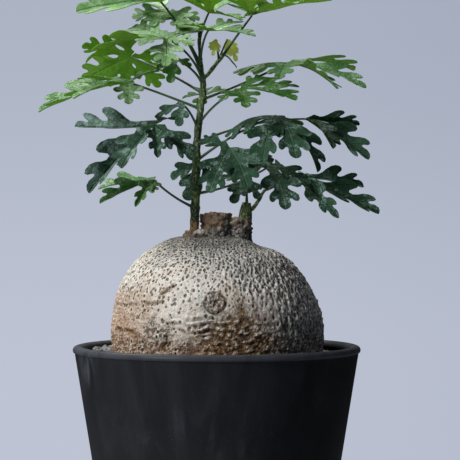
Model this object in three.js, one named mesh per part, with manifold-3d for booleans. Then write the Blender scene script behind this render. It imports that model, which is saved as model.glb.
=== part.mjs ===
import * as THREE from 'three'
import { mergeVertices } from 'three/addons/utils/BufferGeometryUtils.js'
import Module from 'manifold-3d'

// Potted adenia: a swollen, corky stem base in a round black pot, with one thin green vine,
// a short shoot beside it and long-stalked leaves with lobed blades.
// Millimetres, +Z up. The origin is the middle of the pot's base, and the front faces -Y.

// Clearance between pieces that touch
const GAP = 0.3

// Pot: a plain round taper with a rounded lip, a flat base and drain holes
const POT_HEIGHT = 150
const RIM_RADIUS = 90
const BASE_RADIUS = 65
const POT_WALL = 3
const FLOOR_THICKNESS = 4
const LIP_HEIGHT = 4.6
const LIP_PROUD = 1.4
const DRAIN_HOLES = 3
const DRAIN_RADIUS = 5
const DRAIN_CIRCLE = 34
const POT_SEGMENTS = 36

// Potting mix: a gritty bed that ends a little below the lip
const SOIL_TOP = 144
const SOIL_GRAIN = 1.2
const SOIL_SHOULDER = 9

// Caudex: the swollen base, nearly a ball, with its lower half in the mix
const CAUDEX_RADIUS = 66.5
const CAUDEX_DEPTH_RADIUS = 62
const CAUDEX_MIDDLE = 155
const CAUDEX_RISE = 65
const CAUDEX_SINK = 58
const CAUDEX_SHOULDER = 0.88
const BARK_LUMP = 0.8
const BARK_RIDGE = 0.35
const BARK_FOLD = 0.4
const CAUDEX_COLUMNS = 48
const CAUDEX_ROWS = 16
const STUMP_SWELL = 0.16
const STUMP_RAGGED = 1.6
const ROOT_COUNT = 4
const ROOT_RADIUS = 5.5
// Distance from the pot's axis and height of each bend of a root
const ROOT_BENDS = [[24, 112], [44, 88], [52, 60], [46, 32]]

// Green growth
const VINE_SIDES = 7
const STALK_SIDES = 5
const STALK_STEPS = 6
const STALK_RADIUS = 0.95
const BLADE_THICKNESS = 0.8

const wasm = await Module()
wasm.setup()

const group = new THREE.Group()
const V = (x, y, z) => new THREE.Vector3(x, y, z)
const UP = V(0, 0, 1)
// Corners closer than this are one corner
const WELD = 1e-4

const LOOKS = {
  pot_black: { color: 0x1c1c1e, roughness: 0.55 },
  grit: { color: 0x5b5852, roughness: 0.95 },
  bark: { color: 0x8d8474, roughness: 0.9 },
  stem_green: { color: 0x46602f, roughness: 0.6 },
  leaf_bright: { color: 0x6fae3c, roughness: 0.4 },
  leaf_mid: { color: 0x3f7d35, roughness: 0.35 },
  leaf_dark: { color: 0x1f4030, roughness: 0.3 },
  leaf_young: { color: 0x93a63c, roughness: 0.5 },
}

function place(name, geometry, look) {
  const material = new THREE.MeshStandardMaterial({ ...LOOKS[look], metalness: 0 })
  material.name = look
  const mesh = new THREE.Mesh(geometry, material)
  mesh.name = name
  group.add(mesh)
}

function stripped(geometry) {
  geometry.deleteAttribute('normal')
  geometry.deleteAttribute('uv')
  return geometry
}

// Closed three.js geometry to a solid that can be joined and cut, and back
function toSolid(geometry) {
  const merged = mergeVertices(stripped(geometry.clone()), WELD)
  return new wasm.Manifold(new wasm.Mesh({
    numProp: 3,
    vertProperties: new Float32Array(merged.attributes.position.array),
    triVerts: new Uint32Array(merged.index.array),
  }))
}

function toGeometry(solid) {
  const mesh = solid.getMesh()
  const geometry = new THREE.BufferGeometry()
  geometry.setAttribute('position', new THREE.BufferAttribute(new Float32Array(mesh.vertProperties), 3))
  geometry.setIndex(new THREE.BufferAttribute(new Uint32Array(mesh.triVerts), 1))
  geometry.computeVertexNormals()
  return geometry
}

function joined(solids) {
  return solids.reduce((whole, solid) => whole.add(solid))
}

// A repeatable random number from 0 to 1 for a whole-number key
function chance(key) {
  const wave = Math.sin(key * 127.1 + 31.7) * 43758.5453
  return wave - Math.floor(wave)
}

// Tube along a curve whose radius runs through the given values from end to end
function taperedTube(curve, radii, sides, steps) {
  const unit = new THREE.Shape()
  for (let i = 0; i < sides; i += 1) {
    const angle = (i / sides) * 2 * Math.PI
    unit[i ? 'lineTo' : 'moveTo'](Math.cos(angle), Math.sin(angle))
  }
  unit.closePath()
  const tube = new THREE.ExtrudeGeometry(unit, { extrudePath: curve, steps, bevelEnabled: false })
  const rings = []
  for (let i = 0; i <= steps; i += 1) {
    const along = (i / steps) * (radii.length - 1)
    const from = Math.min(Math.floor(along), radii.length - 2)
    const radius = THREE.MathUtils.lerp(radii[from], radii[from + 1], along - from)
    rings.push({ centre: curve.getPointAt(i / steps), axis: curve.getTangentAt(i / steps), radius })
  }
  const position = tube.attributes.position
  const point = new THREE.Vector3()
  for (let i = 0; i < position.count; i += 1) {
    point.fromBufferAttribute(position, i)
    let best = rings[0]
    let least = Infinity
    for (const ring of rings) {
      const offset = point.clone().sub(ring.centre)
      const miss = Math.abs(offset.dot(ring.axis)) + Math.abs(offset.length() - 1)
      if (miss < least) {
        least = miss
        best = ring
      }
    }
    point.sub(best.centre).multiplyScalar(best.radius).add(best.centre)
    position.setXYZ(i, point.x, point.y, point.z)
  }
  return toSolid(tube)
}

// Pot and potting mix

const wallLean = (RIM_RADIUS - LIP_PROUD - BASE_RADIUS) / (POT_HEIGHT - LIP_HEIGHT)
const outerRadiusAt = (z) => BASE_RADIUS + wallLean * z
const innerRadiusAt = (z) => outerRadiusAt(z) - POT_WALL

function lathe(profile, segments) {
  const points = profile.map(([radius, z]) => new THREE.Vector2(radius, z))
  return new THREE.LatheGeometry(points, segments).rotateX(Math.PI / 2)
}

function makePot() {
  const lipFoot = POT_HEIGHT - LIP_HEIGHT
  const shell = toSolid(lathe([
    [0, 0],
    [BASE_RADIUS - 2, 0],
    [BASE_RADIUS, 1.5],
    [outerRadiusAt(lipFoot) - 0.2, lipFoot],
    [RIM_RADIUS - 0.4, lipFoot + 0.5],
    [RIM_RADIUS, lipFoot + 1.8],
    [RIM_RADIUS - 0.2, POT_HEIGHT - 1],
    [RIM_RADIUS - 1.2, POT_HEIGHT],
    [RIM_RADIUS - 3.2, POT_HEIGHT],
    [innerRadiusAt(POT_HEIGHT) + 0.4, POT_HEIGHT - 1],
    [innerRadiusAt(FLOOR_THICKNESS), FLOOR_THICKNESS],
    [0, FLOOR_THICKNESS],
  ], POT_SEGMENTS))
  const holes = []
  for (let i = 0; i < DRAIN_HOLES; i += 1) {
    const angle = (i / DRAIN_HOLES) * 2 * Math.PI + Math.PI / 2
    const drill = new THREE.CylinderGeometry(DRAIN_RADIUS, DRAIN_RADIUS, 4 * FLOOR_THICKNESS, 8)
    drill.rotateX(Math.PI / 2)
    drill.translate(DRAIN_CIRCLE * Math.cos(angle), DRAIN_CIRCLE * Math.sin(angle), 0)
    holes.push(toSolid(drill))
  }
  return shell.subtract(joined(holes))
}

function makeSoilBlock() {
  const foot = FLOOR_THICKNESS + GAP
  const block = lathe([
    [0, foot],
    [innerRadiusAt(foot) - 1.5 * GAP, foot],
    [innerRadiusAt(SOIL_TOP) - 1.5 * GAP, SOIL_TOP],
    [innerRadiusAt(SOIL_TOP) - SOIL_SHOULDER, SOIL_TOP + SOIL_GRAIN],
    [CAUDEX_DEPTH_RADIUS - SOIL_SHOULDER, SOIL_TOP + SOIL_GRAIN],
    [0, SOIL_TOP + SOIL_GRAIN],
  ], POT_SEGMENTS)
  const merged = mergeVertices(stripped(block), WELD)
  const position = merged.attributes.position
  for (let i = 0; i < position.count; i += 1) {
    if (position.getZ(i) > SOIL_TOP) position.setZ(i, position.getZ(i) + (chance(i) - 0.5) * 2 * SOIL_GRAIN)
  }
  return toSolid(merged)
}

// Caudex

// Height of the bark's lumps, ridges and hollows, by direction
function barkRelief(turn, lift) {
  const lumps = Math.sin(3 * turn + 1.3) * Math.cos(2.2 * lift) + 0.6 * Math.sin(5 * turn - 2 * lift)
  const ridges = Math.sin(17 * turn + 2 * Math.sin(3 * lift))
  const folds = Math.sin(9 * lift + 1.7 * Math.sin(2 * turn))
  return BARK_LUMP * lumps + BARK_RIDGE * ridges + BARK_FOLD * folds
}

function makeCaudexBody(proud) {
  const body = stripped(new THREE.SphereGeometry(1, CAUDEX_COLUMNS, CAUDEX_ROWS))
  const merged = mergeVertices(body.rotateX(Math.PI / 2), WELD * 0.1)
  const position = merged.attributes.position
  const point = new THREE.Vector3()
  for (let i = 0; i < position.count; i += 1) {
    point.fromBufferAttribute(position, i)
    const turn = Math.atan2(point.y, point.x)
    const lift = Math.asin(THREE.MathUtils.clamp(point.z, -1, 1))
    const relief = barkRelief(turn, lift) * Math.cos(lift) + proud
    const rise = point.z > 0 ? CAUDEX_RISE : CAUDEX_SINK
    const plump = Math.max(Math.cos(lift), 1e-3) ** (CAUDEX_SHOULDER - 1)
    position.setXYZ(
      i,
      point.x * plump * (CAUDEX_RADIUS + relief),
      point.y * plump * (CAUDEX_DEPTH_RADIUS + relief),
      CAUDEX_MIDDLE + point.z * (rise + relief),
    )
  }
  return toSolid(merged)
}

// Knobbly stump: a cut or broken branch base on the caudex
function makeStump({ x, y, bottom, top, wide, narrow, key }) {
  const stump = stripped(new THREE.CylinderGeometry(narrow, wide, top - bottom, 12, 2).rotateX(Math.PI / 2))
  const merged = mergeVertices(stump, WELD)
  const position = merged.attributes.position
  const middle = (top + bottom) / 2
  for (let i = 0; i < position.count; i += 1) {
    const swell = 1 + STUMP_SWELL * (chance(key + i) - 0.5)
    const ragged = position.getZ(i) > 0 ? STUMP_RAGGED * (chance(key + 40 + i) - 0.5) : 0
    position.setXYZ(
      i,
      x + position.getX(i) * swell,
      y + position.getY(i) * swell,
      middle + position.getZ(i) + ragged,
    )
  }
  return toSolid(merged)
}

function makeRoots(proud) {
  const roots = []
  for (let i = 0; i < ROOT_COUNT; i += 1) {
    const angle = ((i + 0.35 * chance(i + 7)) / ROOT_COUNT) * 2 * Math.PI
    const bends = ROOT_BENDS.map(([radius, z]) => V(radius * Math.cos(angle), radius * Math.sin(angle), z))
    const course = new THREE.CatmullRomCurve3(bends)
    const radii = [ROOT_RADIUS + proud, 0.7 * ROOT_RADIUS + proud, 0.3 * ROOT_RADIUS + proud]
    roots.push(taperedTube(course, radii, 6, 4))
  }
  return joined(roots)
}

const STUMPS = [
  { x: -0.5, y: 0, bottom: 208, top: 234, wide: 13, narrow: 10, key: 3 },
  { x: 14, y: 4, bottom: 205, top: 232, wide: 10.5, narrow: 7, key: 61 },
  { x: -13.5, y: -6, bottom: 205, top: 220.5, wide: 8, narrow: 4.6, key: 120 },
]

// Vine, side shoot and tendrils, all one growth

const VINE_COURSE = new THREE.CatmullRomCurve3([
  V(-14, -6, 221), V(-13.6, -6, 234), V(-13, -5, 250), V(-12.8, -4, 266), V(-12, -3, 283),
  V(-10.4, -2, 297), V(-8.8, -1, 308), V(-8.6, 0, 316), V(-9.8, 0, 326), V(-10.8, 0, 336), V(-11, 0, 345),
  V(-10.4, 0, 352),
])
const VINE_RADII = [3.1, 2.8, 2.5, 2.3, 2.1, 2.0, 1.6, 1.1, 0.8]
const SIDE_COURSE = new THREE.CatmullRomCurve3([V(-9, 0, 319), V(-6, 0, 320.5), V(-1, 1, 327), V(4.5, 3, 334)])
const SIDE_RADII = [1.3, 1.3, 1.2]
const TENDRIL_COURSE = new THREE.CatmullRomCurve3([
  V(4, 3, 334), V(7, 1, 332), V(10, -1, 328.5), V(12.5, -2, 325),
])
const TENDRIL_RADII = [0.7, 0.6, 0.5]

function makeVine(proud) {
  const swollen = (radii) => radii.map((radius) => radius + proud)
  return joined([
    taperedTube(VINE_COURSE, swollen(VINE_RADII), VINE_SIDES, 26),
    taperedTube(SIDE_COURSE, swollen(SIDE_RADII), 6, 5),
    taperedTube(TENDRIL_COURSE, swollen(TENDRIL_RADII), 5, 4),
  ])
}

// Short shoot on the second stump, with a thin twig

const SHOOT_COURSE = new THREE.CatmullRomCurve3([V(17, 6, 233.2), V(18.2, 8, 240), V(20.5, 9, 246)])
const SHOOT_RADII = [3, 2.4, 1.3]
const TWIG_COURSE = new THREE.CatmullRomCurve3([
  V(18, 6.5, 235.4), V(22.5, 7, 237), V(26.5, 6, 242.5), V(29.7, 5, 247.8), V(33.6, 4, 250),
])
const TWIG_RADII = [1.4, 1.2, 0.9]

function makeShoot(proud) {
  const swollen = (radii) => radii.map((radius) => radius + proud)
  return joined([
    taperedTube(SHOOT_COURSE, swollen(SHOOT_RADII), 7, 4),
    taperedTube(TWIG_COURSE, swollen(TWIG_RADII), 6, 6),
  ])
}

// Leaf blades

// Half of a lobe's edge from its waist to its tip: share of the lobe's length along the
// midrib, and share of it to the side. A full lobe bears two fingers a side, a small one a single one.
const FULL_EDGE = [
  [0.32, 0.075], [0.52, 0.235], [0.645, 0.275], [0.6, 0.1],
  [0.75, 0.185], [0.85, 0.19], [0.8, 0.07], [0.93, 0.07],
]
const FULL_MIDRIB = [0.42, 0.68, 0.86]
const FULL_FANS = [0, 0, 0, 0, 1, 1, 1, 2]
const SMALL_EDGE = [[0.34, 0.08], [0.6, 0.24], [0.72, 0.24], [0.7, 0.09], [0.9, 0.1]]
const SMALL_MIDRIB = [0.42, 0.76]
const SMALL_FANS = [0, 0, 0, 0, 1]
// Where neighbouring lobes meet, how far the open side is cut back, and how far the
// lobes' edges lift above their midribs
const SINUS_REACH = 0.2
const OPEN_REACH = 0.14
const KEEL = 0.22

// One blade: lobes fan out from the hub to their tips and arch along the way. A tip is its
// place, then the lobe's twist in degrees about its own run and its own arch, where it has one.
// Tips run anticlockwise as seen from the side that face points to, and the stalk
// comes in through the open stretch between the last tip and the first.
function makeBlade({ hub, tips, face = [0, 0, 1], arch = 0.1, width = 1, small = false }) {
  const edge = small ? SMALL_EDGE : FULL_EDGE
  const midrib = small ? SMALL_MIDRIB : FULL_MIDRIB
  const fans = small ? SMALL_FANS : FULL_FANS
  const middle = V(...hub)
  const facing = V(...face).normalize()
  const lobes = tips.map(([x, y, z, twist = 0, rise = arch]) => {
    const run = V(x, y, z).sub(middle)
    const length = run.length()
    const side = facing.clone().cross(run).normalize()
    side.applyAxisAngle(run.clone().normalize(), THREE.MathUtils.degToRad(twist))
    const normal = run.clone().cross(side).normalize()
    const at = (s, w) => middle.clone()
      .addScaledVector(run, s)
      .addScaledVector(side, w * length * width)
      .addScaledVector(normal, length * (4 * rise * s * (1 - s) + KEEL * Math.abs(w)))
    return { run, length, at }
  })
  const points = [middle]
  const triangles = []
  const add = (point) => points.push(point) - 1
  const sinuses = [add(lobes[0].at(OPEN_REACH, -OPEN_REACH))]
  for (let i = 0; i + 1 < lobes.length; i += 1) {
    const between = lobes[i].at(SINUS_REACH, 0.1).lerp(lobes[i + 1].at(SINUS_REACH, -0.1), 0.5)
    sinuses.push(add(between))
  }
  sinuses.push(add(lobes[lobes.length - 1].at(OPEN_REACH, OPEN_REACH)))
  lobes.forEach((lobe, i) => {
    const spine = [0, ...midrib.map((s) => add(lobe.at(s, 0)))]
    const tip = add(lobe.at(1, 0))
    for (const sign of [-1, 1]) {
      const rim = [sinuses[sign < 0 ? i : i + 1], ...edge.map(([s, w]) => add(lobe.at(s, sign * w))), tip]
      const corner = (a, b, c) => triangles.push(sign < 0 ? [a, b, c] : [a, c, b])
      corner(0, rim[0], rim[1])
      let rib = 0
      for (let k = 1; k + 1 < rim.length; k += 1) {
        const wanted = fans[k - 1] + 1
        while (rib < wanted) {
          corner(spine[rib], rim[k], spine[rib + 1])
          rib += 1
        }
        corner(spine[rib], rim[k], rim[k + 1])
      }
    }
  })
  return thickened(points, triangles)
}

// Gives a triangulated sheet an even thickness and closes its rim
function thickened(points, triangles) {
  const normals = points.map(() => new THREE.Vector3())
  const rims = new Map()
  for (const [a, b, c] of triangles) {
    const ab = points[b].clone().sub(points[a])
    const cross = ab.cross(points[c].clone().sub(points[a]))
    for (const corner of [a, b, c]) normals[corner].add(cross)
    for (const [from, to] of [[a, b], [b, c], [c, a]]) {
      if (!rims.delete(`${to} ${from}`)) rims.set(`${from} ${to}`, [from, to])
    }
  }
  normals.forEach((normal) => normal.normalize().multiplyScalar(BLADE_THICKNESS / 2))
  const count = points.length
  const corners = []
  for (const side of [1, -1]) {
    points.forEach((point, i) => corners.push(...point.clone().addScaledVector(normals[i], side).toArray()))
  }
  const faces = []
  for (const [a, b, c] of triangles) faces.push(a, b, c, count + a, count + c, count + b)
  for (const [from, to] of rims.values()) faces.push(from, count + from, to, to, count + from, count + to)
  const sheet = new THREE.BufferGeometry()
  sheet.setAttribute('position', new THREE.Float32BufferAttribute(corners, 3))
  sheet.setIndex(faces)
  return toSolid(sheet)
}

// Where a course crosses a given height
function courseAt(course, z) {
  let low = 0
  let high = 1
  for (let i = 0; i < 30; i += 1) {
    const mid = (low + high) / 2
    if (course.getPoint(mid).z < z) low = mid
    else high = mid
  }
  return course.getPoint(low)
}

// Stalk from the middle of its stem to the hub. It leaves the stem at an upward
// slant of rise degrees.
function makeStalk({ stem, foot, hub, rise = 30, stalk = STALK_RADIUS }) {
  const start = courseAt(STEMS[stem], foot)
  const end = V(...hub)
  const away = end.clone().sub(start).setZ(0).normalize()
  const reach = start.distanceTo(end) * 0.5
  const slant = THREE.MathUtils.degToRad(rise)
  const bend = start.clone()
    .addScaledVector(away, reach * Math.cos(slant))
    .addScaledVector(UP, reach * Math.sin(slant))
  return taperedTube(new THREE.QuadraticBezierCurve3(start, bend, end), [stalk * 1.15, stalk, stalk * 0.8],
    STALK_SIDES, STALK_STEPS)
}

const STEMS = { vine: VINE_COURSE, side: SIDE_COURSE, shoot: SHOOT_COURSE, twig: TWIG_COURSE }

// Each leaf: its look, the stem it grows from, the height of its foot there, the slant that its
// stalk leaves at, its hub where the blade's lobes meet, and the tips of the lobes
const LEAVES = {
  leaf_left_low: {
    look: 'leaf_mid', stem: 'vine', foot: 237, rise: 22,
    hub: [-39, -14, 253.5], arch: 0.04,
    tips: [[-48, 9, 254], [-73, -2, 249, -30], [-71, -30, 240, -10], [-46, -40, 239]],
  },
  leaf_left_drooping: {
    look: 'leaf_dark', stem: 'vine', foot: 270, rise: 40,
    hub: [-39, -20, 288.5], arch: 0.07, width: 0.75,
    tips: [
      [-27, 8, 293], [-87, -8, 287, -40, -0.04], [-77, -38, 246, -15, 0.04],
      [-51, -56, 259], [-14, -34, 269, 40],
    ],
  },
  leaf_left_long: {
    look: 'leaf_mid', stem: 'vine', foot: 299, rise: 22,
    hub: [-55, -6, 315.5], arch: 0.05,
    tips: [[-37, 12, 323], [-84, 32, 314], [-111, -5, 297, -12], [-84, -42, 305, -8], [-53, -38, 303]],
  },
  leaf_left_behind: {
    look: 'leaf_mid', stem: 'vine', foot: 309, rise: 30,
    hub: [-57, 32, 332], face: [0, -0.6, 0.8],
    tips: [[-52, 47, 346], [-82, 40, 340], [-83, 26, 321.5], [-60, 20, 319], [-38, 22, 321]],
  },
  leaf_left_hanging: {
    look: 'leaf_dark', stem: 'vine', foot: 314, rise: 65,
    hub: [-24, 2, 331], face: [0, -0.7, 0.7], small: true,
    tips: [[-39, 6, 326], [-29, -10, 315], [-14, -2, 323]],
  },
  leaf_upper_left: {
    look: 'leaf_bright', stem: 'vine', foot: 317, rise: 65,
    hub: [-31, -20, 343], arch: 0.09, width: 0.85,
    tips: [[-54, 3, 351, -20], [-80, -32, 328, 8], [-30, -46, 326], [-13, -32, 341, 15]],
  },
  leaf_top_left_back: {
    look: 'leaf_mid', stem: 'vine', foot: 320, rise: 68,
    hub: [-31, 18, 361], face: [0, -0.35, 0.95], arch: 0.06,
    tips: [[-44, 40, 364], [-54, 16, 358, -30], [-39, -6, 351], [-15, 0, 353, 20]],
  },
  leaf_top_left: {
    look: 'leaf_bright', stem: 'vine', foot: 326, rise: 66,
    hub: [-35, -6, 366], arch: 0.04,
    tips: [[-28, 28, 374], [-72, 34, 371], [-87, -10, 358], [-56, -44, 363], [-22, -38, 370]],
  },
  leaf_top_middle: {
    look: 'leaf_bright', stem: 'vine', foot: 341, rise: 80,
    hub: [-5, 2, 360], arch: 0.03,
    tips: [[16, 28, 372], [-20, 30, 375], [-27, -14, 370], [-3, -34, 367], [15, -18, 353]],
  },
  leaf_top_right: {
    look: 'leaf_bright', stem: 'side', foot: 333.7, rise: 55,
    hub: [22, 2, 358], arch: 0.03,
    tips: [[12, 30, 368], [42, 38, 369], [72, 2, 368], [48, -36, 361], [14, -34, 366]],
  },
  leaf_upper_front: {
    look: 'leaf_bright', stem: 'vine', foot: 331, rise: 60,
    hub: [-5, -22, 346], face: [0, -0.3, 0.95], arch: 0.05,
    tips: [[15, -6, 353], [-24, -8, 349], [-22, -44, 347], [2, -50, 343], [24, -27, 342]],
  },
  leaf_middle_back: {
    look: 'leaf_mid', stem: 'vine', foot: 305, rise: 10,
    hub: [-8, 14, 309], face: [0, -0.4, 0.9], small: true,
    tips: [[8, 18, 312], [-8, 32, 314], [-22, 14, 307], [-12, 2, 299]],
  },
  leaf_left_small: {
    look: 'leaf_dark', stem: 'vine', foot: 286, rise: 65,
    hub: [-21, -14, 301.5], face: [0, -0.5, 0.85], small: true,
    tips: [[-30, 0, 298], [-37, -17, 292], [-23, -26, 287]],
  },
  leaf_right_high: {
    look: 'leaf_mid', stem: 'vine', foot: 305, rise: 20,
    hub: [40, 0, 328], arch: 0.06, width: 0.9,
    tips: [[10, 4, 321], [38, -36, 315], [70, -32, 309], [93, -2, 312], [82, 34, 327]],
  },
  leaf_right_front: {
    look: 'leaf_mid', stem: 'vine', foot: 290, rise: 50,
    hub: [13, -19, 309], face: [0, -0.3, 0.95], arch: 0.05, width: 0.9,
    tips: [[2, -29, 301], [17, -49, 296], [46, -44, 302], [51, -14, 311], [33, -5, 317.5]],
  },
  leaf_right_arch: {
    look: 'leaf_dark', stem: 'vine', foot: 266, rise: 38,
    hub: [36, -12, 294.5], arch: 0.1, width: 0.88,
    tips: [[50, 9, 281], [5, -10, 283], [21, -42, 273], [43, -52, 263], [61, -28, 259]],
  },
  leaf_right_far: {
    look: 'leaf_dark', stem: 'vine', foot: 278, rise: 25,
    hub: [57, 14, 294], face: [0.1, -0.6, 0.8], width: 0.75,
    tips: [[67, -26, 275], [95, -12, 270, 10], [90, 16, 293, 20]],
  },
  leaf_front_dark: {
    look: 'leaf_dark', stem: 'vine', foot: 250, rise: 50,
    hub: [6, -24, 278], face: [0, -0.7, 0.7],
    tips: [[-10, -22, 276], [-8, -40, 257], [16, -46, 249], [35, -34, 267]],
  },
  leaf_right_low: {
    look: 'leaf_dark', stem: 'vine', foot: 246, rise: 8,
    hub: [33, -12, 263], face: [0.1, -0.5, 0.85],
    tips: [[24, 8, 264], [12, -20, 257], [43, -38, 237], [56, -20, 252], [46, 6, 260]],
  },
  leaf_right_lowest: {
    look: 'leaf_dark', stem: 'twig', foot: 249, rise: 20, stalk: 0.75,
    hub: [50, 4, 256], face: [0.1, -0.2, 1], arch: 0.02,
    tips: [[74, -38, 231], [100, -10, 234], [94, 30, 253], [63, 38, 259]],
  },
  leaf_shoot: {
    look: 'leaf_dark', stem: 'shoot', foot: 244, rise: 60,
    hub: [19, 12, 257], face: [0, -0.7, 0.7], small: true,
    tips: [[2, 14, 256], [10, 0, 240], [26, 4, 243]],
  },
  leaf_low_back: {
    look: 'leaf_dark', stem: 'vine', foot: 260, rise: 20,
    hub: [-10, 10, 266], face: [0, -0.8, 0.6], small: true,
    tips: [[-29, 10, 256], [-19, 5, 242], [-3, 7, 250]],
  },
  leaf_young_left: {
    look: 'leaf_young', stem: 'side', foot: 330, rise: 80, stalk: 0.6,
    hub: [1, 0, 341.5], face: [0, -0.9, 0.4], small: true,
    tips: [[-5, -1, 338], [-1.5, -3, 333.5], [4, -2, 338]],
  },
  leaf_young_right: {
    look: 'leaf_young', stem: 'side', foot: 329.5, rise: 60, stalk: 0.6,
    hub: [8, 12, 341], face: [0, -0.9, 0.4], small: true,
    tips: [[3, 12, 336], [9, 10, 331], [14.5, 9, 333]],
  },
}

function makeLeaf(spec, clear) {
  return makeBlade(spec).add(makeStalk(spec)).subtract(clear)
}

// The whole plant

const caudex = joined([makeCaudexBody(0), makeRoots(0), ...STUMPS.map(makeStump)])
const burrow = makeCaudexBody(GAP).add(makeRoots(GAP))
const vineClear = makeVine(GAP)
const shootClear = makeShoot(GAP)

place('pot', toGeometry(makePot()), 'pot_black')
place('soil', toGeometry(makeSoilBlock().subtract(burrow)), 'grit')
place('caudex', toGeometry(caudex), 'bark')
place('vine', toGeometry(makeVine(0)), 'stem_green')
place('shoot', toGeometry(makeShoot(0)), 'stem_green')
for (const [name, spec] of Object.entries(LEAVES)) {
  const clear = spec.stem === 'vine' || spec.stem === 'side' ? vineClear : shootClear
  place(name, toGeometry(makeLeaf(spec, clear)), spec.look)
}

export default group
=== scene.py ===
import math
import random

import bmesh
import bpy
import numpy as np
from mathutils import Matrix, Vector, kdtree, noise


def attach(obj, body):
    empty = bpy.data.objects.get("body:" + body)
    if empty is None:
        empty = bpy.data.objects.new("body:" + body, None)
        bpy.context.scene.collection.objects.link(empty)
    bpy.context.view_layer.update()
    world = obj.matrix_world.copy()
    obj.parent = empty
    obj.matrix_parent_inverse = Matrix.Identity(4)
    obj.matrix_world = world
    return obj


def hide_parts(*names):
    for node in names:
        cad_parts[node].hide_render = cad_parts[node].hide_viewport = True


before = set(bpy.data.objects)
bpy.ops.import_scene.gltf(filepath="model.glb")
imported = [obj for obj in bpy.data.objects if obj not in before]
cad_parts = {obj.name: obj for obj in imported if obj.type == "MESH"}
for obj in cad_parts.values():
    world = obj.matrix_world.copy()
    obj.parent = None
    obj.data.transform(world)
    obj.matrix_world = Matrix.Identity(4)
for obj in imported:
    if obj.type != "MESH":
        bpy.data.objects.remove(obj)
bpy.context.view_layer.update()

# Potted adenia: a warty, swollen stem base in a matt black pot, with one thin vine, a short
# shoot beside it and long-stalked leaves whose blades are cut into fingered lobes.
# Lengths are millimetres, and every mesh is turned into metres when it is done. Shaders and
# the stage are in metres.
bl_info = {
    "name": "Potted Adenia",
    "version": (1, 0, 0),
    "blender": (4, 5, 0),
    "location": "View3D > Sidebar > Adenia",
    "description": "Builds the detailed pot, caudex, vine and leaves over the packed frame",
    "category": "Object",
}

MM = 0.001
FULL_TURN = 2 * math.pi
ORIGIN = (0, 0, 0)
UP = Vector((0, 0, 1))
# Points nearer than this are one, in millimetres or in lobes' lengths
TOUCHING = 1e-4


# Plant data

# Each stem: the points of its course, its radii along it, and the steps and sides of its tube
STEMS = {
    "vine": (
        [(-14, -6, 221), (-13.6, -6, 234), (-13, -5, 250), (-12.8, -4, 266), (-12, -3, 283),
         (-10.4, -2, 297), (-8.8, -1, 308), (-8.6, 0, 316), (-9.8, 0, 326), (-10.8, 0, 336),
         (-11, 0, 345), (-10.4, 0, 352)],
        [3.0, 2.7, 2.4, 2.1, 1.9, 1.6, 1.2, 1.0, 0.8], 90, 16),
    "side": (
        [(-9, 0, 319), (-6, 0, 320.5), (-1, 1, 327), (4.5, 3, 334)], [1.3, 1.3, 1.2], 16, 12),
    "tendril": (
        [(4, 3, 334), (7, 1, 332), (10, -1, 328.5), (12.5, -2, 325)], [0.7, 0.6, 0.4], 12, 8),
    "shoot": (
        [(17.6, 5.5, 228.5), (18, 6, 232), (18.3, 6.5, 236), (18.8, 7, 240.5)],
        [4.5, 4.4, 3.8, 2.8], 14, 16),
    "twig": (
        [(18, 6.5, 235.4), (22.5, 7, 237), (26.5, 6, 242.5), (29.7, 5, 247.8), (33.6, 4, 250)],
        [1.4, 1.2, 0.9], 20, 12),
}
# The stems that are grown together as one node of the frame
GROWN = {"vine": ("vine", "side", "tendril"), "shoot": ("shoot", "twig")}

# Half of a lobe's outline from its waist to its tip, as shares of the lobe's length along
# and beside its midrib
FULL_EDGE = [
    (.25, .085), (.31, .10), (.37, .15), (.43, .225), (.50, .295), (.575, .335), (.64, .335),
    (.675, .30), (.67, .25), (.63, .195), (.60, .15), (.605, .115), (.65, .11), (.70, .145),
    (.755, .20), (.82, .24), (.885, .245), (.915, .215), (.90, .17), (.855, .125), (.84, .095),
    (.87, .085), (.925, .10), (.975, .085), (1.0, .04), (1.005, 0),
]
SMALL_EDGE = [
    (.26, .09), (.33, .11), (.41, .17), (.50, .25), (.60, .30), (.69, .305), (.74, .265),
    (.735, .20), (.70, .14), (.72, .11), (.78, .12), (.86, .15), (.94, .135), (.99, .08), (1.0, 0),
]
LOBE_TURN = 2 * math.atan(0.5)
# Where a lobe meets the next one, and where the outer lobes end
WAIST = (0.2, 0.1)
OPEN_WAIST = (0.14, 0.14)
STALK_STEPS, STALK_SIDES = 18, 8
# Where a flat lobe is cut beside and along its midrib so that it can bend
SIDE_CUTS = (0, -.05, .05, -.1, .1, -.16, .16, -.22, .22, -.28, .28)
LONG_CUTS = np.arange(.06, .99, .06)

# Each look of the blades: the slot that it counts as, then the colours of the darker patches
# under its own one in the finish, of its painted sheen, its under side and the light through
# it, how much light comes through, and what differs from the usual skin. The looks are lit
# and shaded copies of the leaves' green: painted sunlight on the upper leaves and painted
# shade on the lower ones
LOOKS = {
    "bright": ("leaf_bright", dict(
        patches="6da468", painted_sheen="b0ccae", under="86ac58", lit="a4c84c", glow=0.4)),
    "sheen": ("leaf_mid", dict(
        patches="84b276", painted_sheen="d8eed8", under="7cac44", lit="a8cc34", glow=0.3)),
    "soft": ("leaf_mid", dict(
        patches="487c44", painted_sheen="bcdabc", under="6c984a", lit="8cb848", glow=0.32, rough=0.42)),
    "mid": ("leaf_mid", dict(
        patches="326a2c", painted_sheen="b2d0ae", under="5c8a34", lit="90bc34", glow=0.42, rough=0.42,
        shine=0.14)),
    "dark": ("leaf_dark", dict(
        patches="223e2d", painted_sheen="98b4ac", under="38582c", lit="4c8040", glow=0.22, rough=0.55,
        shine=0.05, left_painted_sheen=0.36)),
    # The young leaves carry a painted glow as well as their light from behind
    "young": ("leaf_young", dict(
        patches="c0cc6c", painted_sheen="dce29c", under="bcc864", lit="e6f080", glow=0.3, painted_glow=0.12)),
}

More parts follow.
